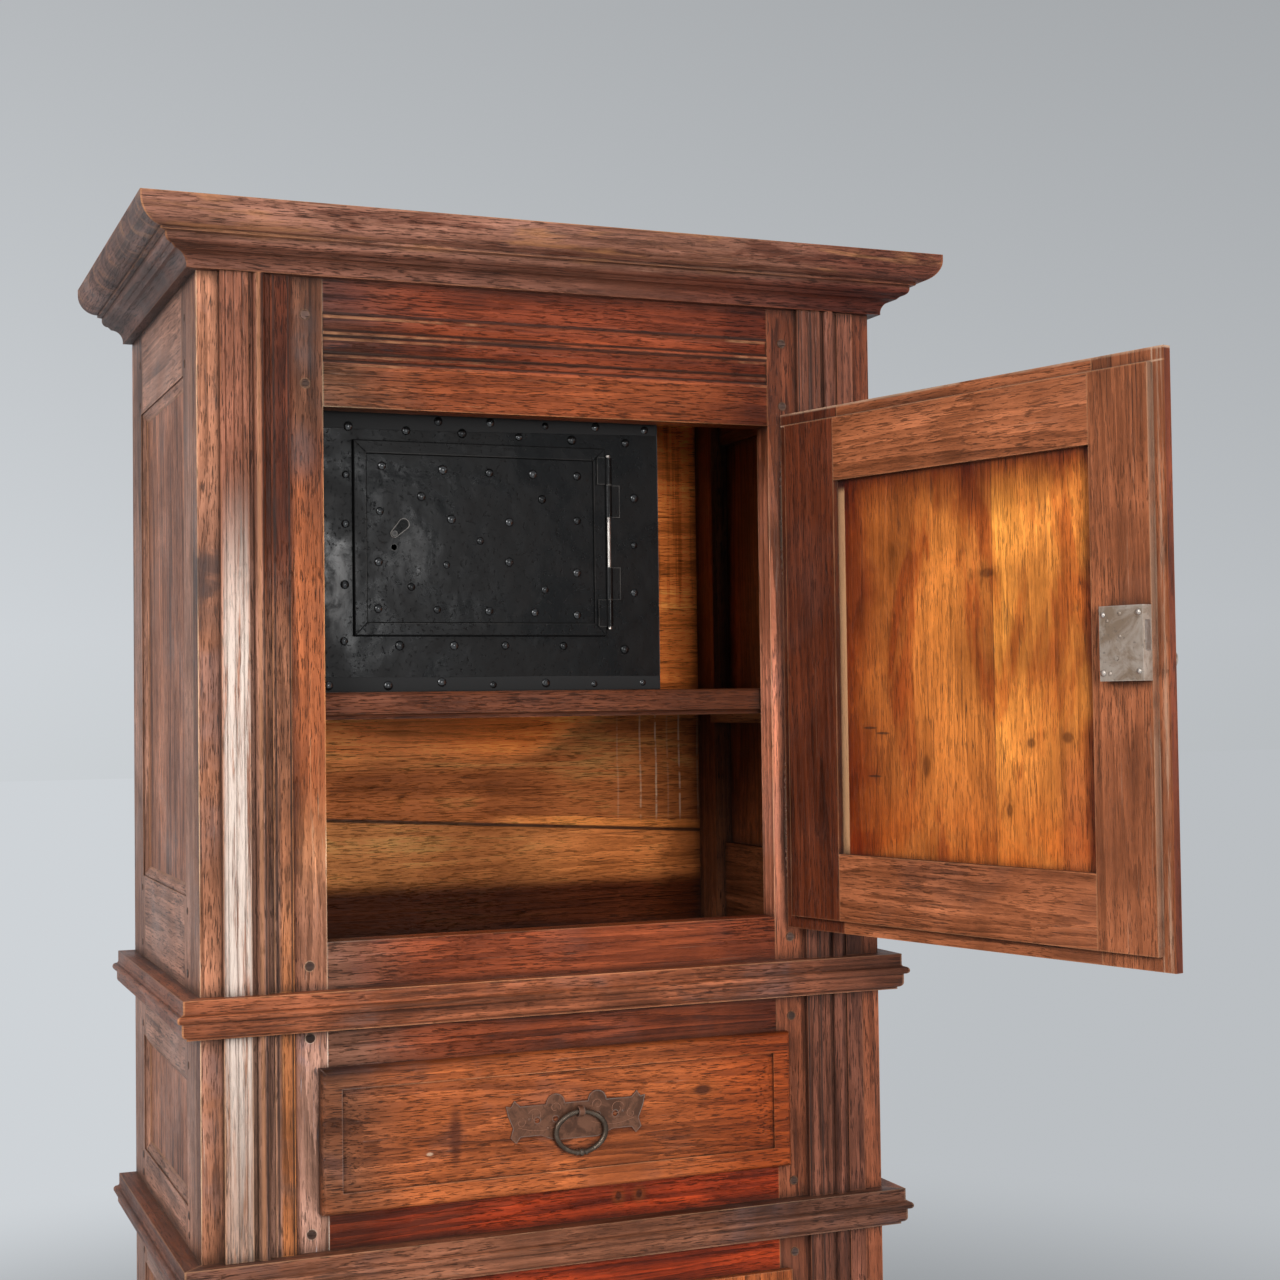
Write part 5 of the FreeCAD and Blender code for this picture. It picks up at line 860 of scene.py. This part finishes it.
def box_seams_and_sheen(m):
    """A painted sheen in pale grey clouded patches at and by the leaf's left edge, and dark seams round the
    leaf and along its border straps.
    """
    left, right, bottom, top = leaf_span()
    field = inside_leaf(m, STRAP_WIDTH - 0.001)
    border = m.times(inside_leaf(m, 0.001), m.step(field, 0.5, 0.4))
    seams = 0.0
    for value, ends, other, (low, high) in (
        (m.x, (left, right), m.z, (bottom, top)),
        (m.z, (bottom, top), m.x, (left, right)),
    ):
        beside = m.band(other, low - 0.001, high + 0.001, 0.001)
        for place, inwards in zip(ends, (STRAP_WIDTH, -STRAP_WIDTH)):
            strap = m.times(m.line(value, place + inwards, 0.0015), field)
            seams = m.most(seams, strap, m.times(m.line(value, place, 0.002), beside))
    for x, z, slope in ((left, top, 1), (right, top, -1), (left, bottom, -1), (right, bottom, 1)):
        mitre = m.line(m.maths("MULTIPLY_ADD", m.x, slope, m.z), z + x * slope, 0.0014)
        corner = m.near((x, -0.225, z), (0.03, 0.05, 0.03), 0.8)
        seams = m.most(seams, m.times(mitre, border, corner))
    cloud = m.step(m.clouds((26, 26, 18), (3, 1, 4), 5, 0.6, 0.4), 0.40, 0.60)
    # painted sheen: pale grey clouded patches at the left of the strong box
    for place, radii, share in (
        ((left - 0.030, -0.225, 1.600), (0.042, 0.05, 0.115), 1.0),
        ((left + 0.075, -0.225, 1.630), (0.060, 0.05, 0.085), 0.18),
    ):
        m.cover((0.130, 0.128, 0.126), m.near(place, radii, 0.15), cloud, share)
    m.cover((0.0004, 0.0004, 0.0004), seams)
    m.roughness = m.most(m.roughness, m.times(seams, 0.85))


def iron(
    nodes,
    name,
    colour,
    rust,
    rough,
    dents,
    bright,
    metallic,
    scale=1.0,
    coat=0.0,
    marks=None,
    grime_and_shade=0.55,
    shine=0.40,
):
    """Hand-worked iron: hammer dents, mottled rust, rubbed arrises with a painted highlight on them, and,
    where asked, painted shade with grime in corners. scale is that of the mottling.
    """
    m = Finish(name)
    cloud = m.clouds((14 * scale,) * 3, (0, 0, 0), 6, 0.65, 0.6)
    speck = m.clouds((210,) * 3, (4, 1, 2), 4, 0.6)
    hammer = m.clouds((42 * scale,) * 3, (1, 5, 3), 2, 0.45, 0.2)
    m.paint = m.blend(m.step(cloud, 0.40, 0.62), tuple(colour), tuple(rust))
    pits = m.step(speck, 0.58, 0.70)
    m.cover(shade(colour, 0.35), pits, 0.55)
    # painted highlight: the arrises lighten towards bright iron, partly rubbed wear
    rubbed_and_highlight = m.times(m.convex(0.0016), m.step(cloud, 0.35, 0.65, 0.25, 1.0))
    m.cover(bpy.context.scene.cupboard_iron.bright, rubbed_and_highlight, bright)
    # painted shade: corners and places beside other parts darken, with grime
    if grime_and_shade:
        m.cover(shade(colour, 0.25), m.corners(0.006), grime_and_shade)
    m.roughness = m.step(cloud, 0.30, 0.70, rough - 0.10, rough + 0.16)
    if marks:
        marks(m)
    m.height = m.times(hammer, dents)
    m.sink(pits, 0.12)
    dress(nodes, m.close(0.0026, 0.7, metallic, coat, shine))
    return m.material


class CUPBOARD_OT_strongbox_iron(bpy.types.Operator):
    """Finish the strong box, its door, keyhole cover and bright pin"""

    bl_idname = "cupboard.strongbox_iron"
    bl_label = "Strong box iron"

    def execute(self, context):
        look = context.scene.cupboard_iron
        nodes = "strongbox_case strongbox_door"
        black = (look.box, look.box_rust)
        # the black iron and the keyhole cover carry a painted highlight on their arrises, and the box a
        # painted sheen at its left
        iron(nodes, "black_iron", *black, 0.29, 0.55, 0.10, 0.10, 0.75, marks=box_seams_and_sheen, shine=0.26)
        black = ((0.001, 0.001, 0.001), (0.0012, 0.0011, 0.001))
        iron("strongbox_keyhole_cover", "cover_iron", *black, 0.20, 0.2, 0.30, 0.0, shine=0.14)
        rust = shade(look.bright, 0.6)
        iron("strongbox_hinge_pin", "pin_iron", look.bright, rust, 0.28, 0.1, 0.5, 0.95)
        return {"FINISHED"}


class CUPBOARD_OT_door_iron(bpy.types.Operator):
    """Finish the hinges, locks, bolts, key and drawer mounts"""

    bl_idname = "cupboard.door_iron"
    bl_label = "Door and drawer iron"

    def execute(self, context):
        look = context.scene.cupboard_iron
        nodes = "post_hinges upper_door_hinges lower_door_hinges"
        rust = shade(look.hinge, 0.6, 0.2)
        iron(nodes, "hinge_iron", look.hinge, rust, 0.32, 0.2, 0.55, 0.85, 3, grime_and_shade=0)
        nodes, rust = "upper_lock_case lower_lock_case", shade(look.lock, 0.55, 0.15)
        iron(nodes, "lock_iron", look.lock, rust, 0.46, 0.4, 0.30, 0.45, 2)
        nodes, rust = "upper_lock_bolt lower_lock_bolt", shade(look.lock, 0.8)
        iron(nodes, "bolt_iron", shade(look.bright, 0.6), rust, 0.34, 0.15, 0.5, 0.85, 3)
        rust = shade(look.hinge, 0.6)
        iron("upper_key", "key_iron", shade(look.hinge, 1.1), rust, 0.40, 0.2, 0.5, 0.7, 3)
        rust = shade(look.mount, 0.5)
        iron("drawer_plate", "mount_iron", look.mount, rust, 0.42, 0.3, 0.25, 0.45, 3)
        ring = ((0.155, 0.115, 0.085), (0.075, 0.052, 0.036))
        iron("drawer_ring", "ring_iron", *ring, 0.30, 0.15, 0.35, 0.85, 3)
        return {"FINISHED"}


# Heads: rivets, nails and pegs


def head_tree():
    """Turns every point of a mesh into a domed head that faces along the point's own direction."""
    group = bpy.data.node_groups.new("domed_heads", "GeometryNodeTree")
    face = group.interface
    face.new_socket("Places", in_out="INPUT", socket_type="NodeSocketGeometry")
    for name, value in (("Head radius", 0.005), ("Head height", 0.003), ("Size change", 0.15)):
        face.new_socket(name, in_out="INPUT", socket_type="NodeSocketFloat").default_value = value
    face.new_socket("Seed", in_out="INPUT", socket_type="NodeSocketInt").default_value = 7
    face.new_socket("Finish", in_out="INPUT", socket_type="NodeSocketMaterial")
    face.new_socket("Heads", in_out="OUTPUT", socket_type="NodeSocketGeometry")
    t = Tree(group)
    given = t.add("NodeGroupInput").outputs
    dome = t.add("GeometryNodeMeshUVSphere", HEAD_SHAPE)
    facing = t.add("GeometryNodeInputNamedAttribute", {"Name": "facing"}, data_type="FLOAT_VECTOR")
    turn = t.add("FunctionNodeAlignRotationToVector", {"Vector": facing.outputs[0]}, axis="Z")
    change = given["Size change"]
    limits = {2: t.maths("SUBTRACT", 1, change), 3: t.maths("ADD", 1, change), "Seed": given["Seed"]}
    chance = t.add("FunctionNodeRandomValue", limits, data_type="FLOAT")
    radius, height = given["Head radius"], given["Head height"]
    size = t.add("ShaderNodeCombineXYZ", {0: radius, 1: radius, 2: height})
    scale = t.vector_maths("SCALE", {0: size.outputs[0], "Scale": chance.outputs[1]})
    sockets = {"Points": given["Places"], "Instance": dome.outputs["Mesh"]}
    sockets |= {"Rotation": turn.outputs[0], "Scale": scale}
    spread = t.add("GeometryNodeInstanceOnPoints", sockets)
    smooth = t.add("GeometryNodeSetShadeSmooth", {0: spread.outputs[0]})
    real = t.add("GeometryNodeRealizeInstances", {0: smooth.outputs[0]})
    dressed = t.add("GeometryNodeSetMaterial", {0: real.outputs[0], "Material": given["Finish"]})
    t.add("NodeGroupOutput", {0: dressed.outputs[0]})
    return group


def settle(name, data, body, slot):
    """Puts a piece in the scene and ties it to its body. slot is not used."""
    piece = bpy.data.objects.new(name, data)
    bpy.context.scene.collection.objects.link(piece)
    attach(piece, body)


def made_plain(thing):
    """The mesh that a modifier or a curve comes to. The thing itself goes."""
    graph = bpy.context.evaluated_depsgraph_get()
    mesh = bpy.data.meshes.new_from_object(thing.evaluated_get(graph))
    bpy.data.objects.remove(thing)
    return mesh


def heads(name, places, radius, height, change, seed, material, body, slot):
    """One plain mesh of domed heads; places holds (point, outward direction) pairs."""
    tree = bpy.data.node_groups.get("domed_heads") or head_tree()
    mesh = bpy.data.meshes.new(name + "_places")
    mesh.from_pydata([tuple(point) for point, out in places], [], [])
    facing = mesh.attributes.new("facing", "FLOAT_VECTOR", "POINT")
    for item, (point, out) in zip(facing.data, places):
        item.vector = out
    holder = bpy.data.objects.new(name + "_places", mesh)
    bpy.context.scene.collection.objects.link(holder)
    modifier = holder.modifiers.new("heads", "NODES")
    modifier.node_group = tree
    wanted = {"Head radius": radius, "Head height": height, "Size change": change, "Seed": seed}
    wanted["Finish"] = material
    for item in tree.interface.items_tree:
        if item.in_out == "INPUT" and item.name in wanted:
            modifier[item.identifier] = wanted[item.name]
    plain = made_plain(holder)
    plain.name = name
    if not plain.materials:
        plain.materials.append(material)
    settle(name, plain, body, slot)


def placed(body, x, y, z):
    """A place in the scene's frame. On a door it is given from the hinge axis, with the door at rest."""
    spot = Vector((x, y, z))
    return DOOR_AXIS + DOOR_TURNS[body] @ spot if body in DOOR_TURNS else spot


def door_facing(body, y):
    return DOOR_TURNS[body] @ Vector((0, y, 0))


def lock_level(body):
    """The height of a lock case's middle."""
    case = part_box(body.replace("door", "lock_case"))
    return (case[0].z + case[1].z) / 2


def case_front():
    return LEAF[1].y + 0.0003


def on_face(span, y, shares):
    """Places on an upright face, from shares of its width and height."""
    left, right, bottom, top = span
    wide, tall = right - left, top - bottom
    return [(Vector((left + wide * across, y, bottom + tall * up)), FORWARD) for across, up in shares]


class CUPBOARD_OT_strongbox_rivets(bpy.types.Operator):
    """Rivet the strong box and its door"""

    bl_idname = "cupboard.strongbox_rivets"
    bl_label = "Strong box rivets"

    def execute(self, context):
        look = context.scene.cupboard_iron
        grey, dark = (0.075, 0.076, 0.077), (0.020, 0.020, 0.020)
        metal = iron("", "rivet_iron", grey, dark, 0.15, 0.0, 0.0, 0.9, 1.0, 0.3, grime_and_shade=0)
        sizes = (look.rivet_radius, look.rivet_height, look.size_change)
        low, high = CASE[0], CASE[1]
        y = case_front()
        places = on_face((low.x, high.x, low.z, high.z), y, CASE_RIVETS)
        for side, sense in ((low.x, -1), (high.x, 1)):
            for deep in SIDE_RIVET_DEPTHS:
                for up in SIDE_RIVET_LEVELS:
                    point = Vector((side, y + CASE_DEPTH * deep, low.z + (high.z - low.z) * up))
                    places.append((point, Vector((sense, 0, 0))))
        heads("case_rivets", places, *sizes, 3, metal, "root", "black_iron")
        places = on_face(leaf_span(), LEAF[1].y - LEAF_PLATE, LEAF_RIVETS)
        heads("leaf_rivets", places, *sizes, 5, metal, "strongbox_door", "black_iron")
        return {"FINISHED"}


class CUPBOARD_OT_lock_nails(bpy.types.Operator):
    """Nail the locks to the doors"""

    bl_idname = "cupboard.lock_nails"
    bl_label = "Lock nails"

    def execute(self, context):
        look = context.scene.cupboard_iron
        bright = iron("", "nail_iron", look.bright, shade(look.lock, 1.2), 0.34, 0.1, 0.3, 0.85, 4)
        dull = bpy.data.materials["lock_iron"]
        for name, body, spots, size, seed, metal in (
            ("upper_lock_nails", "upper_door", LOCK_NAILS, 1.0, 2, bright),
            ("upper_lock_pins", "upper_door", LOCK_PINS, 0.6, 4, dull),
            ("lower_lock_nails", "lower_door", LOCK_NAILS, 1.0, 6, bright),
        ):
            drop = lock_level("upper_door") - lock_level(body)
            out = door_facing(body, 1)
            places = [(placed(body, x, LOCK_FACE, z - drop), out) for x, z in spots]
            sizes = (look.nail_radius * size, look.nail_height * size, look.size_change)
            heads(name, places, *sizes, seed, metal, body, "worn_iron")
        return {"FINISHED"}


class CUPBOARD_OT_joint_pegs(bpy.types.Operator):
    """Peg the joints of the doors and side frames"""

    bl_idname = "cupboard.joint_pegs"
    bl_label = "Joint pegs"

    def execute(self, context):
        sizes = context.scene.cupboard_oak_sizes
        wood = bpy.data.materials["peg_oak"]
        lot = (sizes.peg_radius, sizes.peg_height, 0.12)
        for body, seed in (("upper_door", 11), ("lower_door", 12)):
            foot, top = DOOR_SPANS[body]
            out = door_facing(body, -1)
            places = [(placed(body, x, DOOR_LIP, z + (top if z < 0 else foot)), out) for x, z in DOOR_PEGS]
            heads(body + "_pegs", places, *lot, seed, wood, body, "oak")
        places = [
            (Vector((SIDE_FACE * sense, y, z)), Vector((sense, 0, 0)))
            for sense in (-1, 1)
            for z in SIDE_PEG_LEVELS
            for y in SIDE_PEG_DEPTHS
        ]
        heads("side_pegs", places, *lot, 13, wood, "root", "oak")
        return {"FINISHED"}


# Plates and strips


def slab(name, points, depths, material, body, slot):
    """A thin plate: an outline of (x, z) points between two depths, with softened arrises."""
    mesh = bmesh.new()
    rings = [[mesh.verts.new(placed(body, x, depth, z)) for x, z in points] for depth in depths]
    mesh.faces.new(rings[0])
    mesh.faces.new(list(reversed(rings[1])))
    for number in range(len(points)):
        after = (number + 1) % len(points)
        mesh.faces.new((rings[0][number], rings[1][number], rings[1][after], rings[0][after]))
    bmesh.ops.recalc_face_normals(mesh, faces=mesh.faces)
    soft = {"offset": SLAB_SOFTENING, "segments": 2, "profile": 0.5, "clamp_overlap": True}
    bmesh.ops.bevel(mesh, geom=list(mesh.edges), affect="EDGES", **soft)
    bmesh.ops.recalc_face_normals(mesh, faces=mesh.faces)
    data = bpy.data.meshes.new(name)
    mesh.to_mesh(data)
    mesh.free()
    data.materials.append(material)
    settle(name, data, body, slot)


class CUPBOARD_OT_strongbox_laps(bpy.types.Operator):
    """Lap the strips over the strong box's top and bottom edges"""

    bl_idname = "cupboard.strongbox_laps"
    bl_label = "Strong box laps"

    def execute(self, context):
        look = context.scene.cupboard_iron
        left, right = CASE[0].x + 0.0005, CASE[1].x - 0.0005
        low, high = CASE[0].z + 0.0006, CASE[1].z - 0.0006
        top = [(left, 1.7895), *TOP_LAP_EDGE, (right, 1.7970), (right, high), (left, high)]
        foot = [(left, low), (right, low), (right, 1.4588), *FOOT_LAP_EDGE, (left, 1.4606)]
        depths = (case_front() - look.lap, case_front() + 0.001)
        metal = bpy.data.materials["black_iron"]
        for name, points in (("case_top_lap", top), ("case_foot_lap", foot)):
            slab(name, points, depths, metal, "root", "black_iron")
        return {"FINISHED"}


def shield_half(level, sense):
    """Half of an escutcheon, shouldered above and pointed below, with half of the keyhole cut out."""
    wide, tall = SHIELD_SIZE
    points = [(across * wide, up * tall) for across, up in SHIELD_SHAPE]
    angles = [math.radians(90 - number * 33) for number in range(1, 5)]
    eye = [(KEYHOLE_EYE * math.cos(angle), KEYHOLE_EYE * math.sin(angle)) for angle in angles]
    points += reversed([(0, KEYHOLE_EYE), *eye, *KEYHOLE_SLOT])
    return [(KEYHOLE_X + x * sense, level + z) for x, z in points]


class CUPBOARD_OT_escutcheons(bpy.types.Operator):
    """Fix an iron escutcheon and its nails round each door's keyhole"""

    bl_idname = "cupboard.escutcheons"
    bl_label = "Escutcheons"

    def execute(self, context):
        look = context.scene.cupboard_iron
        metal = bpy.data.materials["mount_iron"]
        sizes = (look.nail_radius * 0.55, look.nail_height * 0.5, look.size_change)
        for name, body in (("upper_escutcheon", "upper_door"), ("lower_escutcheon", "lower_door")):
            key = lock_level(body) - KEYHOLE_DROP
            front = DOOR_LIP - SHIELD_DEPTH
            for side, sense in (("left", -1), ("right", 1)):
                outline = shield_half(key, sense)
                slab(name + "_" + side, outline, (front, DOOR_LIP), metal, body, "worn_iron")
            out = door_facing(body, -1)
            nails = [(placed(body, KEYHOLE_X + x, front + 0.0001, key + z), out) for x, z in SHIELD_NAILS]
            heads(name + "_nails", nails, *sizes, 8, metal, body, "worn_iron")
        return {"FINISHED"}


def scroll(centre, radius, start, end):
    """A C-scroll that winds in as it goes."""
    for number in range(27):
        share = number / 26
        angle = math.radians(start + (end - start) * share)
        reach = radius * (1 - 0.62 * share)
        yield centre[0] + reach * math.cos(angle), centre[1] + reach * math.sin(angle)


def border_line():
    """A long swept line along the plate's lower edge."""
    for number in range(17):
        share = number / 16
        yield 0.020 + 0.062 * share, -0.010 - 0.006 * math.sin(math.pi * share)


class CUPBOARD_OT_plate_engraving(bpy.types.Operator):
    """Engrave the drawer plate's scrolls and nail it on"""

    bl_idname = "cupboard.plate_engraving"
    bl_label = "Drawer plate engraving"

    def execute(self, context):
        look = context.scene.cupboard_iron
        m = Finish("engraved_line")
        m.height = m.clouds((900,) * 3, (0, 0, 0), 2, 0.5)
        m.paint = m.blend(m.height, shade(look.mount, 0.9), shade(look.mount, 1.9))
        m.roughness = 0.45
        middle = Vector(((PLATE[0].x + PLATE[1].x) / 2, 0, (PLATE[0].z + PLATE[1].z) / 2))
        face = DRAWER[0].y - 0.0016
        curve = bpy.data.curves.new("plate_scrolls", "CURVE")
        curve.dimensions = "3D"
        curve.bevel_depth = 0.00035
        curve.bevel_resolution = 1
        for sense in (-1, 1):
            for path in [*(scroll(*shape) for shape in SCROLLS), border_line()]:
                path = list(path)
                spline = curve.splines.new("POLY")
                spline.points.add(len(path) - 1)
                for point, (x, z) in zip(spline.points, path):
                    point.co = (middle.x + x * sense, face, middle.z + z, 1)
        drawn = bpy.data.objects.new("plate_scrolls_line", curve)
        context.scene.collection.objects.link(drawn)
        mesh = made_plain(drawn)
        mesh.materials.clear()
        mesh.materials.append(m.close(0.0002))
        settle("plate_scrolls", mesh, "drawer", "worn_iron")
        nails = [(Vector((middle.x + x, face, middle.z + z)), FORWARD) for x, z in PLATE_NAILS]
        sizes = (look.nail_radius * 0.55, look.nail_height * 0.6, look.size_change)
        heads("plate_nails", nails, *sizes, 9, bpy.data.materials["mount_iron"], "drawer", "worn_iron")
        return {"FINISHED"}


# Stage


class CUPBOARD_OT_stage(bpy.types.Operator):
    """Set the backdrop, floor, lamps and camera"""

    bl_idname = "cupboard.stage"
    bl_label = "Stage"

    def execute(self, context):
        look = context.scene.cupboard_stage
        scene = context.scene
        scene.view_settings.view_transform = "Standard"
        self.backdrop(scene, look)
        self.floor(look)
        middle = (0, -0.1, 1.2)
        lamp("main_lamp", (-3.4, -3.0, 3.1), middle, 2.4, look.key_power)
        front = lamp("front_lamp", (-0.2, -4.2, 1.90), (0, 0, 1.45), 1.2, look.front_power)
        front.visible_glossy = False
        lamp("window_lamp", (0.18, -3.1, 1.76), (-0.3, -0.2, 1.62), 0.5, look.window_power)
        lamp("fill_lamp", (3.2, -2.6, 1.8), middle, 2.2, look.fill_power)
        camera = bpy.data.objects.new("camera", bpy.data.cameras.new("camera"))
        camera.data.sensor_width = 36
        camera.data.lens = look.focal_length
        camera.data.clip_end = 60
        camera.location = look.camera_place
        camera.rotation_euler = look.camera_turn
        scene.collection.objects.link(camera)
        scene.camera = camera
        return {"FINISHED"}

    def backdrop(self, scene, look):
        """Pale colours for the camera, and even daylight for everything else."""
        world = bpy.data.worlds.new("studio")
        scene.world = world
        world.use_nodes = True
        t = Tree(world.node_tree)
        t.tree.nodes.clear()
        place = t.add("ShaderNodeTexCoord").outputs["Generated"]
        level = t.add("ShaderNodeMapRange", {0: t.axis(place, "Z"), 1: -0.35, 2: 0.35})
        stops = ((0.12, look.backdrop_low), (0.55, look.backdrop_middle), (0.97, look.backdrop_top))
        sockets = {0: t.axis(place, "X"), 1: SHADE_START, 2: SHADE_END, 3: 1.0, 4: RIGHT_SHADE}
        across = t.add("ShaderNodeMapRange", sockets)
        dim = t.vector_maths("SCALE", {0: t.ramp(level.outputs[0], stops), "Scale": across.outputs[0]})
        pale = t.add("ShaderNodeBackground", {"Color": dim})
        even = t.add("ShaderNodeBackground", {"Color": (0.97, 0.985, 1.0), "Strength": look.daylight})
        mix = t.add("ShaderNodeMixShader", {0: t.seen(), 1: even.outputs[0], 2: pale.outputs[0]})
        t.add("ShaderNodeOutputWorld", {0: mix.outputs[0]})

    def floor(self, look):
        """A matt floor that turns into the backdrop's colour farther out."""
        m = Finish("studio_floor")
        grain = m.noise(m.vector, 2, scale=3.0)
        paint = m.blend(grain, shade(look.floor, 0.98), shade(look.floor, 1.02))
        near = m.add("ShaderNodeBsdfPrincipled", {"Base Color": paint, "Roughness": 0.9})
        length = m.vector_maths("LENGTH", {0: m.vector}, "Value")
        side = m.step(m.maths("DIVIDE", m.x, length), SHADE_START, SHADE_END, 1.0, RIGHT_SHADE)
        pale = m.vector_maths("SCALE", {0: tuple(look.backdrop_middle), "Scale": side})
        far = m.add("ShaderNodeEmission", {"Color": pale})
        share = m.times(m.seen(), m.step(length, 1.3, 3.4))
        both = m.add("ShaderNodeMixShader", {0: share, 1: near.outputs[0], 2: far.outputs[0]})
        m.add("ShaderNodeOutputMaterial", {"Surface": both.outputs[0]})
        mesh = bpy.data.meshes.new("studio_floor")
        reach = 40
        corners = [(-reach, -reach, 0), (reach, -reach, 0), (reach, reach, 0), (-reach, reach, 0)]
        mesh.from_pydata(corners, [], [(0, 1, 2, 3)])
        mesh.materials.append(m.material)
        ground = bpy.data.objects.new("studio_floor", mesh)
        bpy.context.scene.collection.objects.link(ground)


def lamp(name, place, target, size, power):
    data = bpy.data.lights.new(name, "AREA")
    data.shape = "DISK"
    data.size = size
    data.energy = power
    light = bpy.data.objects.new(name, data)
    light.location = place
    light.rotation_euler = (Vector(target) - Vector(place)).to_track_quat("-Z", "Y").to_euler()
    bpy.context.scene.collection.objects.link(light)
    return light


OPERATORS = (
    CUPBOARD_OT_front_frame,
    CUPBOARD_OT_mouldings,
    CUPBOARD_OT_side_frames,
    CUPBOARD_OT_inside_boards,
    CUPBOARD_OT_upper_door,
    CUPBOARD_OT_lower_door,
    CUPBOARD_OT_drawer,
    CUPBOARD_OT_strongbox_iron,
    CUPBOARD_OT_door_iron,
    CUPBOARD_OT_strongbox_rivets,
    CUPBOARD_OT_strongbox_laps,
    CUPBOARD_OT_lock_nails,
    CUPBOARD_OT_escutcheons,
    CUPBOARD_OT_plate_engraving,
    CUPBOARD_OT_joint_pegs,
    CUPBOARD_OT_stage,
)
SETTINGS = {
    "cupboard_oak": OakColours,
    "cupboard_oak_sizes": OakSizes,
    "cupboard_iron": IronLook,
    "cupboard_stage": StageLook,
}


class CUPBOARD_PT_sidebar(bpy.types.Panel):
    """The cupboard's steps, in the order in which they run"""

    bl_idname = "CUPBOARD_PT_sidebar"
    bl_label = "Court cupboard"
    bl_space_type = "VIEW_3D"
    bl_region_type = "UI"
    bl_category = "Cupboard"

    def draw(self, context):
        for word, group in SETTINGS.items():
            column = self.layout.column(align=True)
            for setting in group.__annotations__:
                column.prop(getattr(context.scene, word), setting)
        for operator in OPERATORS:
            self.layout.operator(operator.bl_idname)


def register():
    for group in SETTINGS.values():
        bpy.utils.register_class(group)
    for word, group in SETTINGS.items():
        setattr(bpy.types.Scene, word, bpy.props.PointerProperty(type=group))
    for operator in OPERATORS:
        bpy.utils.register_class(operator)
    bpy.utils.register_class(CUPBOARD_PT_sidebar)


def unregister():
    bpy.utils.unregister_class(CUPBOARD_PT_sidebar)
    for operator in reversed(OPERATORS):
        bpy.utils.unregister_class(operator)
    for word in SETTINGS:
        delattr(bpy.types.Scene, word)
    for group in reversed(list(SETTINGS.values())):
        bpy.utils.unregister_class(group)


def main():
    register()
    for operator in OPERATORS:
        family, step = operator.bl_idname.split(".")
        getattr(getattr(bpy.ops, family), step)()


if __name__ == "__main__":
    main()
